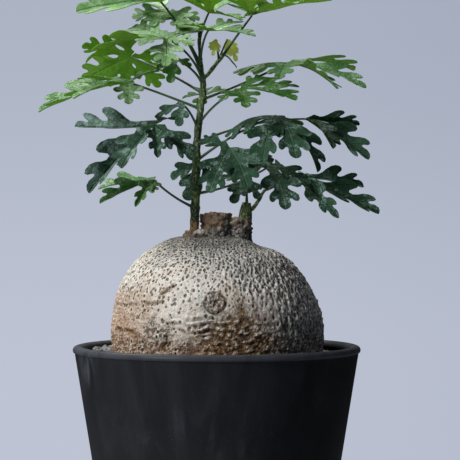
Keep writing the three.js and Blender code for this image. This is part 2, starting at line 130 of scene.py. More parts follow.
# Each leaf: its look, the stem that it grows from unless that is the vine, the height of its
# foot there, the slant at which its stalk leaves, its hub, which way it faces, its usual arch
# and width, and the tips of its lobes, some with their own twist, arch and fold
LEAVES = {
    "left_low": dict(
        look="soft", foot=237, rise=22, hub=(-39, -14, 254.5), arch=.04, width=.7,
        tips=[(-47, 9, 255), (-74, -2, 249, -30, .04, .5), (-71, -30, 240, -46, .05, .9),
              (-49, -38, 238, -30, .1, .9), (-39, -36, 246)]),
    "left_drooping": dict(
        look="dark", foot=270, rise=40, hub=(-38, -20, 288.5), arch=.07, width=.75,
        tips=[(-27, 8, 293), (-88, -8, 288, -42, -.04, .7), (-77, -40, 246, -46, .06, .9),
              (-56, -54, 260, 0, .06, .5), (-35, -50, 267, 0, .05, .7), (-14, -36, 266, 35)]),
    "left_long": dict(
        look="mid", foot=299, rise=22, hub=(-55, -6, 315.5), arch=.05, width=.8,
        tips=[(-37, 12, 324), (-86, 30, 317), (-111, -5, 297, -20, .05, .4),
              (-86, -40, 303, -8, .05, .4), (-53, -38, 300)]),
    "left_behind": dict(
        look="mid", foot=309, rise=30, hub=(-56, 30, 335), face=(0, .6, .8), arch=.05,
        tips=[(-35, 30, 333), (-38, 48, 317), (-62, 52, 315), (-88, 44, 321, 35), (-86, 20, 341),
              (-60, 8, 347)]),
    "left_hanging": dict(
        look="mid", foot=314, rise=65, hub=(-26, 4, 331), face=(0, -.7, .7), small=True,
        tips=[(-38, 6, 325), (-29, -8, 315), (-16, 0, 326)]),
    "upper_left": dict(
        look="sheen", foot=317, rise=65, hub=(-30, -20, 341), face=(0, -.3, .95), arch=.06,
        tips=[(-54, 5, 351, -20), (-80, -26, 326, 22, .12), (-46, -42, 335), (-30, -46, 322),
              (-14, -32, 336, 15), (-8, 2, 350, 10)]),
    "top_left_back": dict(
        look="sheen", foot=320, rise=68, hub=(-32, 16, 362), face=(0, -.4, .9), arch=.06,
        tips=[(-44, 38, 370), (-54, 16, 359, -35), (-40, -10, 350), (-20, -10, 348),
              (-11, 14, 357, 20)]),
    "top_left": dict(
        look="bright", foot=326, rise=66, hub=(-35, -6, 366), arch=.04,
        tips=[(-28, 28, 374), (-72, 34, 371), (-87, -10, 359, -48, .05, .5), (-56, -44, 363),
              (-22, -38, 370)]),
    "top_middle": dict(
        look="bright", foot=341, rise=80, hub=(-5, 2, 360), arch=.03,
        tips=[(16, 28, 372), (-20, 30, 375), (-27, -14, 370), (-3, -34, 367), (15, -18, 353)]),
    "top_right": dict(
        look="bright", stem="side", foot=333.7, rise=55, hub=(22, 2, 358), arch=.03,
        tips=[(12, 30, 368), (42, 38, 369), (72, 2, 368), (48, -36, 361), (14, -34, 366)]),
    "upper_front": dict(
        look="sheen", foot=331, rise=60, hub=(-5, -22, 346), face=(0, -.3, .95), arch=.05,
        tips=[(15, -6, 353), (-24, -8, 349), (-22, -44, 347), (2, -50, 343), (24, -27, 342)]),
    "middle_back": dict(
        look="mid", foot=305, rise=10, hub=(-8, 14, 309), face=(0, -.4, .9), small=True,
        tips=[(8, 18, 312), (-8, 32, 314), (-22, 14, 307), (-12, 2, 299)]),
    "left_small": dict(
        look="dark", foot=286, rise=65, hub=(-21, -14, 301.5), face=(0, -.5, .85), small=True,
        tips=[(-30, 0, 298), (-37, -17, 292), (-23, -26, 287)]),
    "right_high": dict(
        look="soft", foot=305, rise=20, hub=(45, 0, 328.5), arch=.06, width=.85,
        tips=[(10, 4, 323, 0, .06, -.5), (38, -38, 315), (73, -32, 310, -25), (93, -6, 312, 20),
              (88, 30, 327)]),
    "right_front": dict(
        look="mid", foot=290, rise=50, hub=(15, -19, 310.5), face=(0, -.3, .95), arch=.05, width=.9,
        tips=[(2, -29, 302), (18, -50, 297), (48, -44, 302), (51, -14, 312), (31, -3, 319)]),
    "right_arch": dict(
        look="dark", foot=266, rise=38, hub=(37, -12, 294.5), arch=.1, width=.85,
        tips=[(52, 9, 281), (5, -10, 282, 0, .12, -.8), (28, -42, 264, 0, .1, .4),
              (48, -50, 267, 0, .1, .1), (62, -26, 259, 0, .1, .5)]),
    "right_far": dict(
        look="dark", foot=278, rise=25, hub=(56, 14, 294), face=(.1, -.5, .85), width=.66,
        tips=[(72, -18, 274, -20, .06, .6), (95, -6, 268, 20, .08, .5),
              (91, 20, 291, 44, .06, .9)]),
    "front_dark": dict(
        look="dark", foot=250, rise=50, hub=(8, -24, 274), face=(0, -.7, .7),
        tips=[(-11, -18, 278), (-4, -42, 246), (19, -48, 249), (35, -30, 266, 0, .06, -.5)]),
    "right_low": dict(
        look="dark", foot=246, rise=8, hub=(33, -12, 263), face=(.1, -.5, .85),
        tips=[(24, 8, 264), (13, -20, 257), (42, -40, 236), (55, -22, 251), (46, 6, 260)]),
    "right_lowest": dict(
        look="dark", stem="twig", foot=249, rise=20, stalk=.75, hub=(51, 2, 257), face=(.1, -.2, 1),
        arch=.02, width=.62,
        tips=[(74, -36, 231, 46, .03, .9), (101, -8, 234, 50, .02, .9), (94, 26, 252, 30, .02, .5),
              (64, 36, 258)]),
    "shoot": dict(
        look="dark", stem="shoot", foot=244, rise=60, hub=(19, 12, 257), face=(0, -.7, .7),
        small=True,
        tips=[(2, 14, 256), (10, 0, 240), (26, 4, 243)]),
    "low_back": dict(
        look="dark", foot=260, rise=20, hub=(-10, 10, 266), face=(0, -.8, .6), small=True,
        tips=[(-29, 10, 256), (-19, 5, 242), (-3, 7, 250)]),
    "young_left": dict(
        look="young", stem="side", foot=330, rise=80, stalk=.6, hub=(-.5, 0, 343),
        face=(0, -.9, .4), small=True, width=.75,
        tips=[(-5, -1, 337.5), (-2.5, -2, 332.5), (1.5, -1, 335)]),
    "young_right": dict(
        look="young", stem="side", foot=329.5, rise=60, stalk=.6, hub=(6.5, 9, 344),
        face=(0, -.9, .4), small=True, width=.7,
        tips=[(7, 9, 334), (12.5, 8, 330), (13.5, 9, 337)]),
}


# Shader helpers

class Socket:
    """A value in a shader. Python's arithmetic on it adds Math nodes."""

    def __init__(self, shader, output):
        self.shader = shader
        self.output = output

    def maths(self, operation, *values):
        return self.shader.node(
            "ShaderNodeMath", {"operation": operation}, dict(enumerate(values)))

    def __add__(self, other):
        return self.maths("ADD", self, other)

    def __sub__(self, other):
        return self.maths("SUBTRACT", self, other)

    def __rsub__(self, other):
        return self.maths("SUBTRACT", other, self)

    def __mul__(self, other):
        return self.maths("MULTIPLY", self, other)

    def __mod__(self, other):
        return self.maths("FLOORED_MODULO", self, other)

    def __abs__(self):
        return self.maths("ABSOLUTE", self)

    __radd__ = __add__
    __rmul__ = __mul__

    def between(self, low, high, start=0.0, end=1.0):
        """Smooth step from start to end as the value runs from low to high."""
        return self.shader.node(
            "ShaderNodeMapRange", {"interpolation_type": "SMOOTHSTEP"},
            {"Value": self, "From Min": low, "From Max": high, "To Min": start, "To Max": end})

    def fading(self, low, high, start=1.0):
        """Smooth step down to nothing as the value runs from low to high."""
        return self.between(low, high, start, 0.0)


def tone(code):
    """Linear colour of a six-digit hex code."""
    parts = [int(code[i:i + 2], 16) / 255 for i in (0, 2, 4)]
    return tuple(p / 12.92 if p <= 0.04045 else ((p + 0.055) / 1.055) ** 2.4 for p in parts)


def rgba(colour):
    """What a colour socket takes: a link as it is, or a hex code or three numbers as opaque."""
    if isinstance(colour, Socket):
        return colour
    return (*(tone(colour) if isinstance(colour, str) else colour), 1.0)


class Shader:
    """A node material that is built from the values of its sockets."""

    def __init__(self, name):
        self.material = bpy.data.materials.new(name)
        self.material.use_nodes = True
        self.tree = self.material.node_tree
        self.tree.nodes.clear()
        self.place = self.node("ShaderNodeTexCoord", output="Object")

    def node(self, kind, settings=None, values=None, output=0):
        """Adds a node, sets it up, and returns one of its outputs."""
        made = self.tree.nodes.new(kind)
        for key, value in (settings or {}).items():
            setattr(made, key, value)
        for key, value in (values or {}).items():
            if isinstance(value, Socket):
                self.tree.links.new(value.output, made.inputs[key])
            else:
                made.inputs[key].default_value = value
        return Socket(self, made.outputs[output]) if made.outputs else None

    def part(self, axis, vector=None):
        """One coordinate of the vector, or else of the place on the object."""
        return self.node("ShaderNodeSeparateXYZ", {}, {"Vector": vector or self.place}, axis)

    def noise(self, scale, detail, rough, stretch=None, warp=0.0):
        """Noise on the object's own coordinates, with scale in features per metre."""
        at = self.place
        if stretch:
            at = self.node("ShaderNodeMapping", {}, {"Vector": at, "Scale": stretch})
        return self.node("ShaderNodeTexNoise", {}, {
            "Vector": at, "Scale": scale, "Detail": detail, "Roughness": rough,
            "Distortion": warp}, "Fac")

    def cells(self, scale, at=None, loose=1.0):
        """How far each place is from the middle of its cell."""
        return self.node("ShaderNodeTexVoronoi", {}, {
            "Vector": at or self.place, "Scale": scale, "Randomness": loose})

    def stored(self, name, output="Fac"):
        """What the piece's points keep under this name."""
        return self.node("ShaderNodeAttribute", {"attribute_name": name}, output=output)

    def mixed(self, share, first, second):
        """The first colour with its share of the second."""
        return self.node(
            "ShaderNodeMix", {"data_type": "RGBA"}, {0: share, 6: rgba(first), 7: rgba(second)}, 2)

    def layered(self, base, layers):
        """The base colour with its share of each layer's colour in turn."""
        for share, colour in layers:
            base = self.mixed(share, base, colour)
        return base

    def bumped(self, height, distance, strength):
        return self.node(
            "ShaderNodeBump", {}, {"Height": height, "Distance": distance, "Strength": strength})

    def surface(self, base, rough, normal=None, **fixed):
        """A plain surface. Further sockets are named with _ for their spaces."""
        values = {"Base Color": rgba(base), "Roughness": rough}
        values.update({key.replace("_", " "): value for key, value in fixed.items()})
        if normal:
            values["Normal"] = normal
        return self.node("ShaderNodeBsdfPrincipled", {}, values)

    def blended(self, share, first, second):
        """The first surface with its share of the second."""
        return self.node("ShaderNodeMixShader", {}, {0: share, 1: first, 2: second})

    def done(self, surface):
        """The material with this surface."""
        self.node("ShaderNodeOutputMaterial", {}, {"Surface": surface})
        return self.material


# Mesh helpers

def linked(name, bm, materials):
    """Makes the mesh a smooth object of the scene."""
    mesh = bpy.data.meshes.new(name)
    bm.to_mesh(mesh)
    bm.free()
    for material in materials:
        mesh.materials.append(material)
    mesh.shade_smooth()
    made = bpy.data.objects.new(name, mesh)
    bpy.context.scene.collection.objects.link(made)
    return made


def finished(name, bm, materials, sharp, node=None):
    """Turns the mesh into metres and makes it a piece that rides with the plant, in place of
    a node of the frame if one is given."""
    bmesh.ops.scale(bm, vec=(MM, MM, MM), verts=bm.verts)
    piece = linked(name, bm, materials)
    piece.data.set_sharp_from_angle(angle=math.radians(sharp))
    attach(piece, "root")
    if node:
        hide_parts(node)
    return piece


def through(points, steps):
    """Evenly counted points on a smooth curve through the given ones."""
    points = [Vector(p) for p in points]
    ends = [points[0] * 2 - points[1], *points, points[-1] * 2 - points[-2]]
    course = []
    spans = len(points) - 1
    for k in range(steps + 1):
        place = k / steps * spans
        i = min(int(place), spans - 1)
        t = place - i
        a, b, c, d = ends[i:i + 4]
        course.append(0.5 * (2 * b + (c - a) * t + (2 * a - 5 * b + 4 * c - d) * t * t
                             + (3 * b - a - 3 * c + d) * t ** 3))
    return course


def spread(values, count):
    """The values stretched over count places, with straight steps between."""
    return np.interp(np.linspace(0, 1, count), np.linspace(0, 1, len(values)), values)


def once(items):
    """The items without repeats, in the order in which they first come."""
    return list(dict.fromkeys(items))


def around(reach, turn, z):
    """Place at a turn about the upright axis."""
    return Vector((reach * math.cos(turn), reach * math.sin(turn), z))


def spun(profile, steps, sectors=1):
    """Spins a profile of radii and heights about the upright axis, by a whole turn or by one
    of several sectors."""
    bm = bmesh.new()
    verts = [bm.verts.new((radius, 0, z)) for radius, z in profile]
    edges = [bm.edges.new(pair) for pair in zip(verts, verts[1:])]
    bmesh.ops.spin(bm, geom=verts + edges, cent=ORIGIN, axis=UP, angle=FULL_TURN / sectors,
                   steps=steps, use_merge=sectors == 1)
    if sectors == 1:
        bmesh.ops.remove_doubles(bm, verts=bm.verts, dist=TOUCHING)
    return bm


def repeated(sector, count):
    """A whole turn about the upright axis from one sector, joined without gaps. Its points are
    in one unbroken row, so that what is added later comes after them."""
    mesh = bpy.data.meshes.new("sector")
    whole = bmesh.new()
    step = Matrix.Rotation(FULL_TURN / count, 3, "Z")
    for _ in range(count):
        bmesh.ops.rotate(sector, cent=ORIGIN, matrix=step, verts=sector.verts)
        sector.to_mesh(mesh)
        whole.from_mesh(mesh)
    sector.free()
    bmesh.ops.remove_doubles(whole, verts=whole.verts, dist=1e-3)
    whole.to_mesh(mesh)
    whole.clear()
    whole.from_mesh(mesh)
    bpy.data.meshes.remove(mesh)
    return whole


def add_tube(bm, course, radii, sides, material=0):
    """Extrudes a ring along the course and closes both ends."""
    turn = (course[1] - course[0]).normalized().to_track_quat("Z", "Y")
    frames = []
    for i, point in enumerate(course):
        ahead = course[min(i + 1, len(course) - 1)] - course[max(i - 1, 0)]
        turn = (turn @ UP).rotation_difference(ahead.normalized()) @ turn
        size = Matrix.Diagonal((radii[i], radii[i], radii[i], 1))
        frames.append(Matrix.Translation(point) @ turn.to_matrix().to_4x4() @ size)
    ring = bmesh.ops.create_circle(bm, segments=sides, radius=1, matrix=frames[0])["verts"]
    edges = once(e for v in ring for e in v.link_edges)
    faces = bmesh.ops.edgeloop_fill(bm, edges=edges)["faces"]
    for before, after in zip(frames, frames[1:]):
        grown = bmesh.ops.extrude_edge_only(bm, edges=edges)["geom"]
        ring = [g for g in grown if isinstance(g, bmesh.types.BMVert)]
        edges = [g for g in grown
                 if isinstance(g, bmesh.types.BMEdge) and all(v in ring for v in g.verts)]
        faces += [g for g in grown if isinstance(g, bmesh.types.BMFace)]
        bmesh.ops.transform(bm, matrix=after @ before.inverted(), verts=ring)
    faces += bmesh.ops.edgeloop_fill(bm, edges=edges)["faces"]
    for face in faces:
        face.material_index = material


def add_mesh(bm, part):
    """Adds the part's mesh to the end of the other, and frees it."""
    mesh = bpy.data.meshes.new("part")
    part.to_mesh(mesh)
    part.free()
    bm.from_mesh(mesh)
    bpy.data.meshes.remove(mesh)


def coordinates(bm):
    bm.verts.ensure_lookup_table()
    return np.array([v.co for v in bm.verts])


def move_to(bm, places):
    for vert, place in zip(bm.verts, places):
        vert.co = place


def roughen(bm, size, amount, seeds):
    """Shifts every point by Perlin noise, with one seed for each axis."""
    points = coordinates(bm)
    shift = np.stack([rumple(points, size, seed) for seed in seeds], 1)
    move_to(bm, points + amount * shift)
    bmesh.ops.recalc_face_normals(bm, faces=bm.faces)


def held(value):
    """A number kept from 0 to 1."""
    return min(max(value, 0), 1)


def ramp(values, low, high):
    """Smooth step of an array from 0 at low to 1 at high."""
    t = np.clip((values - low) / (high - low), 0, 1)
    return t * t * (3 - 2 * t)


def bell(values, middle, width):
    """Smooth hump of height 1 at the middle."""
    return np.exp(-((values - middle) / width) ** 2)


def spot(x, z, middle, size):
    """The same about a place across and up, with its width and height."""
    return np.exp(-((x - middle[0]) / size[0]) ** 2 - ((z - middle[1]) / size[1]) ** 2)


def rumple(points, size, seed=0.0, octaves=1):
    """Perlin noise from -1 to 1 at each point, with features of the given size."""
    total, weight = np.zeros(len(points)), 1.0
    for octave in range(octaves):
        scaled = points * (2 ** octave / size) + (seed + 17.3 * octave)
        total += weight * np.array([noise.noise(p) for p in scaled.tolist()])
        weight *= 0.5
    return total


# Properties

def length(name, about, default):
    return bpy.props.FloatProperty(
        name=name, description=about, default=default * MM, min=0, unit="LENGTH")


def factor(name, about, default, unit="NONE"):
    return bpy.props.FloatProperty(
        name=name, description=about, default=default, min=0, unit=unit)


def tint(name, about, code):
    return bpy.props.FloatVectorProperty(
        name=name, description=about, default=tone(code), min=0, max=1, size=3, subtype="COLOR")


class PlanterSizes(bpy.types.PropertyGroup):
    height: length("Height", "Height of the pot", 151.2)
    rim: length("Rim radius", "Outer radius of the lip", 90)
    base: length("Base radius", "Outer radius at the foot", 65)
    wall: length("Wall", "Thickness of the wall", 3)
    floor: length("Floor", "Thickness of the floor", 4)
    lip: length("Lip height", "Height of the rolled lip", 4.2)
    lip_width: length("Lip width", "Width of the rolled lip, seen from above", 7)
    lip_proud: length("Lip stand", "How far the lip stands out from the wall", 1.2)


class TrunkSizes(bpy.types.PropertyGroup):
    radius: length("Radius", "Half width of the swollen base", 66.5)
    depth: length("Depth radius", "Half depth of the swollen base", 62)
    middle: length("Middle", "Height of its widest ring", 155)
    rise: length("Rise", "Height of the dome over its widest ring", 65)
    sink: length("Sink", "Depth of the buried half under it", 58)
    relief: factor("Relief", "Strength of warts and ridges", 1)


class FoliageSizes(bpy.types.PropertyGroup):
    blade: length("Blade", "Thickness of a leaf blade", 0.4)
    stalk: length("Stalk radius", "Radius of a leaf stalk", 0.72)
    keel: factor("Keel", "How far lobes fold up from their midribs", 0.24, "ROTATION")
    wave: factor("Wave", "Waviness of the blades' edges", 0.018)


class Finish(bpy.types.PropertyGroup):
    pot: tint("Pot", "Matt black of the pot", "131416")
    # The pale tone of real scuffs, which also paints light on the pot's left side and lip
    scuff_and_light: tint("Scuffs", "Pale wear and dust on the pot", "404349")
    grit: tint("Grit", "Dark volcanic grit", "666462")
    bark_pale: tint("Pale bark", "Cream skin of the caudex", "dad5cc")
    bark_grey: tint("Grey bark", "Weathered skin of the caudex", "adaca8")
    bark_warm: tint("Warm bark", "Orange-brown skin near the soil", "b08c72")
    bark_ochre: tint("Ochre bark", "Ochre hollows among the lumps", "70521c")
    # This tone paints dark skin and also the painted shade in hollows, cracks and at the knot
    bark_dark_and_shade: tint("Dark bark", "Warts, cracks and hollows", "292827")
    wood: tint("Old wood", "Broken wood of the stumps", "8e6a4c")
    stem: tint("Stem", "Green bark of the vine", "4c6634")
    # The leaf tints are lit and shaded copies of one green: painted sunlight on the upper leaves
    # and painted shade on the lower ones. The pale tints also carry painted sheen
    bright: tint("Bright leaf", "Sunlit upper leaves", "7cb05c")
    sheen: tint("Pale leaf", "Upper leaves with a pale bloom", "a4d098")
    soft: tint("Soft leaf", "Side leaves with a pale bloom", "6fa062")
    mid: tint("Middle leaf", "Leaves half in shade", "4a8034")
    dark: tint("Dark leaf", "Lower leaves in shade", "3a5c47")
    young: tint("Young leaf", "Unfolding leaves", "b8c874")


GROUPS = {"planter": PlanterSizes, "trunk": TrunkSizes, "foliage": FoliageSizes, "finish": Finish}


class AdeniaSettings(bpy.types.PropertyGroup):
    planter: bpy.props.PointerProperty(type=PlanterSizes, name="Pot")
    trunk: bpy.props.PointerProperty(type=TrunkSizes, name="Caudex")
    foliage: bpy.props.PointerProperty(type=FoliageSizes, name="Foliage")
    finish: bpy.props.PointerProperty(type=Finish, name="Finish")


# Pot

# Drain holes: how far out they are, their radius, and their turns in degrees
DRAIN_REACH, DRAIN_RADIUS, DRAIN_TURNS = 34, 5, (90, 210, 330)
POT_STEPS = 144


def pot_material(finish):
    shader = Shader("matt_black_pot")
    cloud = shader.noise(18, 5, 0.6)
    streak = shader.noise(50, 4, 0.65, stretch=(1, 1, 0.3), warp=0.6)
    specks = shader.noise(900, 2, 0.6)
    across, height = shader.part("X"), shader.part("Z")
    worn = cloud.between(0.5, 0.72) * streak.between(0.42, 0.7)
    fleck = shader.cells(260).fading(0.06, 0.11) * cloud.between(0.45, 0.6)
    lip = height.between(0.1462, 0.149)
    # Painted light: the pot is lighter on its left, where the key lamp falls, with a painted
    # highlight along the lip. The worn streaks show more there too
    painted_light = across.fading(-0.03, 0.09) * 0.13 + lip * 0.42
    # A scuffed place under the lip
    scuffed = (streak - abs(across + 0.077) * 60).between(0.3, 0.5) * height.between(0.122, 0.14)
    faded = streak.between(0.3, 0.75) * 0.2 + worn * 0.5
    pale = faded * (painted_light * 4 + 0.4) + fleck * 0.5 + painted_light + scuffed
    rough = 0.6 + worn * 0.2 + (streak - 0.5) * 0.2 - lip * 0.2
    normal = shader.bumped(specks * 0.5 + cloud + streak * 0.4, 0.0004, 0.35)
    return shader.done(shader.surface(
        shader.mixed(pale, finish.pot, finish.scuff_and_light), rough, normal,
        Specular_IOR_Level=0.015, Coat_Weight=lip * 0.12, Coat_Roughness=0.35))


class ADENIA_OT_pot(bpy.types.Operator):
    """Build the round black pot with its rolled lip and drain holes"""

    bl_idname = "adenia.pot"
    bl_label = "Pot"

    def execute(self, context):
        sizes = context.scene.adenia.planter
        bm = spun(self.profile(sizes), POT_STEPS)
        # The wall is open at two rings, one under the floor and one on it
        open_edges = [e for e in bm.edges if e.is_boundary]
        under = [e for e in open_edges if e.verts[0].co.z < 1]
        inside = [e for e in open_edges if e.verts[0].co.z > 1]
        holes = []
        for turn in np.radians(DRAIN_TURNS):
            rings = []
            for z, side in ((0, under), (sizes.floor / MM, inside)):
                place = Matrix.Translation(around(DRAIN_REACH, turn, z))
                ring = bmesh.ops.create_circle(
                    bm, segments=24, radius=DRAIN_RADIUS, matrix=place)["verts"]
                hole = once(e for v in ring for e in v.link_edges)
                side += hole
                rings += hole
            holes.append(rings)
        for edges in (under, inside):
            bmesh.ops.triangle_fill(bm, edges=edges, use_beauty=True, use_dissolve=False)
        for rings in holes:
            bmesh.ops.bridge_loops(bm, edges=rings)
        bmesh.ops.recalc_face_normals(bm, faces=bm.faces)
        material = pot_material(context.scene.adenia.finish)
        finished("pot_shell", bm, [material], 50, "pot")
        return {"FINISHED"}

    def profile(self, sizes):
        """Radii and heights from the foot up the outside, over the lip and down the inside."""
        height, rim, base = sizes.height / MM, sizes.rim / MM, sizes.base / MM
        wall, floor, lip = sizes.wall / MM, sizes.floor / MM, sizes.lip / MM
        foot = height - lip
        lean = (rim - sizes.lip_proud / MM - base) / foot
        inner_floor = base + lean * floor - wall
        places = [(base - 2, 0), (base - 0.6, 0.3), (base, 1.6)]
        places += [(base + lean * z, z) for z in np.linspace(6, foot - 3, 12)]
        places += [(base + lean * foot - 0.1, foot - 0.5), (base + lean * foot + 0.1, foot + 0.1)]
        # The lip is half a flat oval
        half, crown = sizes.lip_width / MM / 2, 0.62 * lip
        for turn in np.radians(np.linspace(-28, 208, 21)):
            across = math.copysign(abs(math.cos(turn)) ** 0.8, math.cos(turn))
            places.append((rim - half + half * across, height - crown + crown * math.sin(turn)))
        places += [(base + lean * foot - wall + 0.3, foot - 0.2)]
        places += [(base + lean * z - wall, z) for z in np.linspace(foot - 2, floor + 2, 10)]
        return [*places, (inner_floor - 0.7, floor + 0.4), (inner_floor - 2, floor)]


# Grit

# Layers and rings of grains, the reach of the first ring, the height of the first layer, and
# the gaps between rings, between grains and between layers
GRIT_LAYERS, GRIT_RINGS, GRIT_REACH, GRIT_HEIGHT = 3, 9, 61.0, 143.9
RING_GAP, GRAIN_GAP, LAYER_GAP = 2.9, 4.3, 1.75
# The pot's inside at the grit, and how far and from what height its lip stands in
POT_INSIDE, LIP_INWARD, LIP_HEIGHT = 84.2, 2.2, 146.4
# The highest grains at the front right, and how much higher they lie at the back left
GRIT_TOP, GRIT_HEAP = 145.2, 3.6


def grit_material(finish):
    shader = Shader("volcanic_grit")
    grain = shader.noise(1400, 3, 0.7)
    patches = shader.noise(240, 2, 0.5)
    base = shader.layered(finish.grit, [
        (patches.between(0.35, 0.7), "84858a"),
        (grain.between(0.35, 0.75) * 0.6, "232221"),
        # Painted shadow: the grit is darker on the right, in the caudex's shade away from the key
        # lamp
        (shader.part("X").between(-0.05, 0.01) * 0.75, "191817"),
    ])
    return shader.done(shader.surface(base, 0.9, shader.bumped(grain, 0.0006, 0.8)))


class ADENIA_OT_grit(bpy.types.Operator):
    """Lay loose grit on the potting mix around the caudex"""

    bl_idname = "adenia.grit"
    bl_label = "Grit"

    def execute(self, context):
        scene = context.scene.adenia
        trunk = scene.trunk
        squeeze = trunk.depth / trunk.radius
        rng = random.Random(11)
        bm = bmesh.new()
        ball = bmesh.new()
        bmesh.ops.create_uvsphere(ball, u_segments=7, v_segments=5, radius=1)
        corners = len(ball.verts)
        granule = bpy.data.meshes.new("granule")
        ball.to_mesh(granule)
        ball.free()
        for layer in range(GRIT_LAYERS):
            for ring in range(GRIT_RINGS):
                reach = GRIT_REACH + ring * RING_GAP
                count = int(FULL_TURN * reach / GRAIN_GAP)
                batch = bmesh.new()
                for k in range(count):
                    angle = (k + 0.5 * (ring % 2) + rng.uniform(-0.3, 0.3)) / count * FULL_TURN
                    radius = reach + rng.uniform(-1.1, 1.1)
                    size = rng.uniform(1.4, 2.4)
                    leftness = held((-math.cos(angle) - 0.1) / 0.85)
                    behind = held(math.sin(angle) * 1.6 + 0.55)
                    top = GRIT_HEIGHT + layer * LAYER_GAP + rng.uniform(-0.5, 0.5)
                    girth = math.hypot(math.cos(angle), squeeze * math.sin(angle))
                    turn = [rng.uniform(0, 3) for _ in range(4)]
                    shape = Matrix.Diagonal((
                        size, size * rng.uniform(0.65, 1), size * rng.uniform(0.55, 0.85), 1))
                    limit = POT_INSIDE if top + size < LIP_HEIGHT else POT_INSIDE - LIP_INWARD
                    if (radius + size > limit or radius < trunk.radius / MM * girth - 0.5
                            or top > GRIT_TOP + GRIT_HEAP * leftness * behind):
                        continue
                    place = Matrix.Translation(around(radius, angle, top))
                    spin = Matrix.Rotation(turn[0], 4, Vector(turn[1:]))
                    batch.from_mesh(granule)
                    batch.verts.ensure_lookup_table()
                    bmesh.ops.transform(
                        batch, matrix=place @ spin @ shape, verts=batch.verts[-corners:])
                add_mesh(bm, batch)
        bpy.data.meshes.remove(granule)
        roughen(bm, 2.1, 0.75, (3.0, 31.0, 57.0))
        material = grit_material(scene.finish)
        finished("grit_granules", bm, [material], 50)
        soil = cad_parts["soil"]
        soil.data.materials.clear()
        soil.data.materials.append(material)
        return {"FINISHED"}


# Caudex

# The dome is spun as one sector and repeated. The power makes it plumper than an oval
SECTORS, SECTOR_STEPS, PLUMP = 16, 33, 0.88
# Lengths of the skin in one radian around and up the dome
SKIN_AROUND, SKIN_UP = 66, 65
# Old branch scar on the front of the dome, by its middle across and up
KNOT = (-0.5, 180.2)
KNOT_SIZE = 5.6
# Cracks by their ends across and up, their half width and how deep they show
CRACKS = [
    ((-31.5, 184), (-27.5, 186.5), 0.5, 0.8),
    ((-27.5, 186.5), (-24.8, 188.6), 0.5, 0.9),
    ((-31.6, 153.6), (-29.0, 156.2), 0.7, 1.0),
    ((-29.0, 156.2), (-29.6, 160), 0.6, 1.0),
    ((-61, 163.4), (-57, 162.6), 0.5, 0.9),
    ((-55.4, 162.8), (-50, 162), 0.5, 0.8),
    ((-62, 177.4), (-47, 178.4), 0.4, 0.45),
    ((-42, 179), (-38, 178.4), 0.6, 0.7),
    ((-37, 178.8), (-32, 179.6), 0.5, 0.7),
]
# Warts: the lifts in degrees between which they grow, their gap low down and how much less it
# is at the neck, how far they stray in gaps, and the share that has a stain
WART_LIFTS, WART_GAP, WART_CLOSER = (-8, 74), 3.15, 0.95
WART_STRAY, WART_STAINED = 0.36, 0.42
# Stumps at the neck: middle, foot and top heights, radii there, their flare at the foot, how
# far they lean to the right on the way up, the share that is bare wood, how far the edge of
# the top is rounded down, and the seed of their knobs. One has a notch and one a fresh cut
STUMP_STEPS, STUMP_RINGS = 84, 36
STUMPS = [
    dict(x=0.6, y=0, bottom=209, top=234.6, wide=11.6, narrow=9.2, flare=0.42, lean=-0.8,
         wood=0.95, crest=1.2, seed=3, notched=True),
    dict(x=11.5, y=2.5, bottom=206, top=231.8, wide=9.8, narrow=8.6, flare=0.75, lean=1.6,
         wood=0.85, crest=2.4, seed=8),
    dict(x=-16.5, y=-5, bottom=207, top=224, wide=11.5, narrow=6.2, flare=0.5, lean=3.6,
         wood=0.9, crest=1.2, seed=13, fresh=True),
]


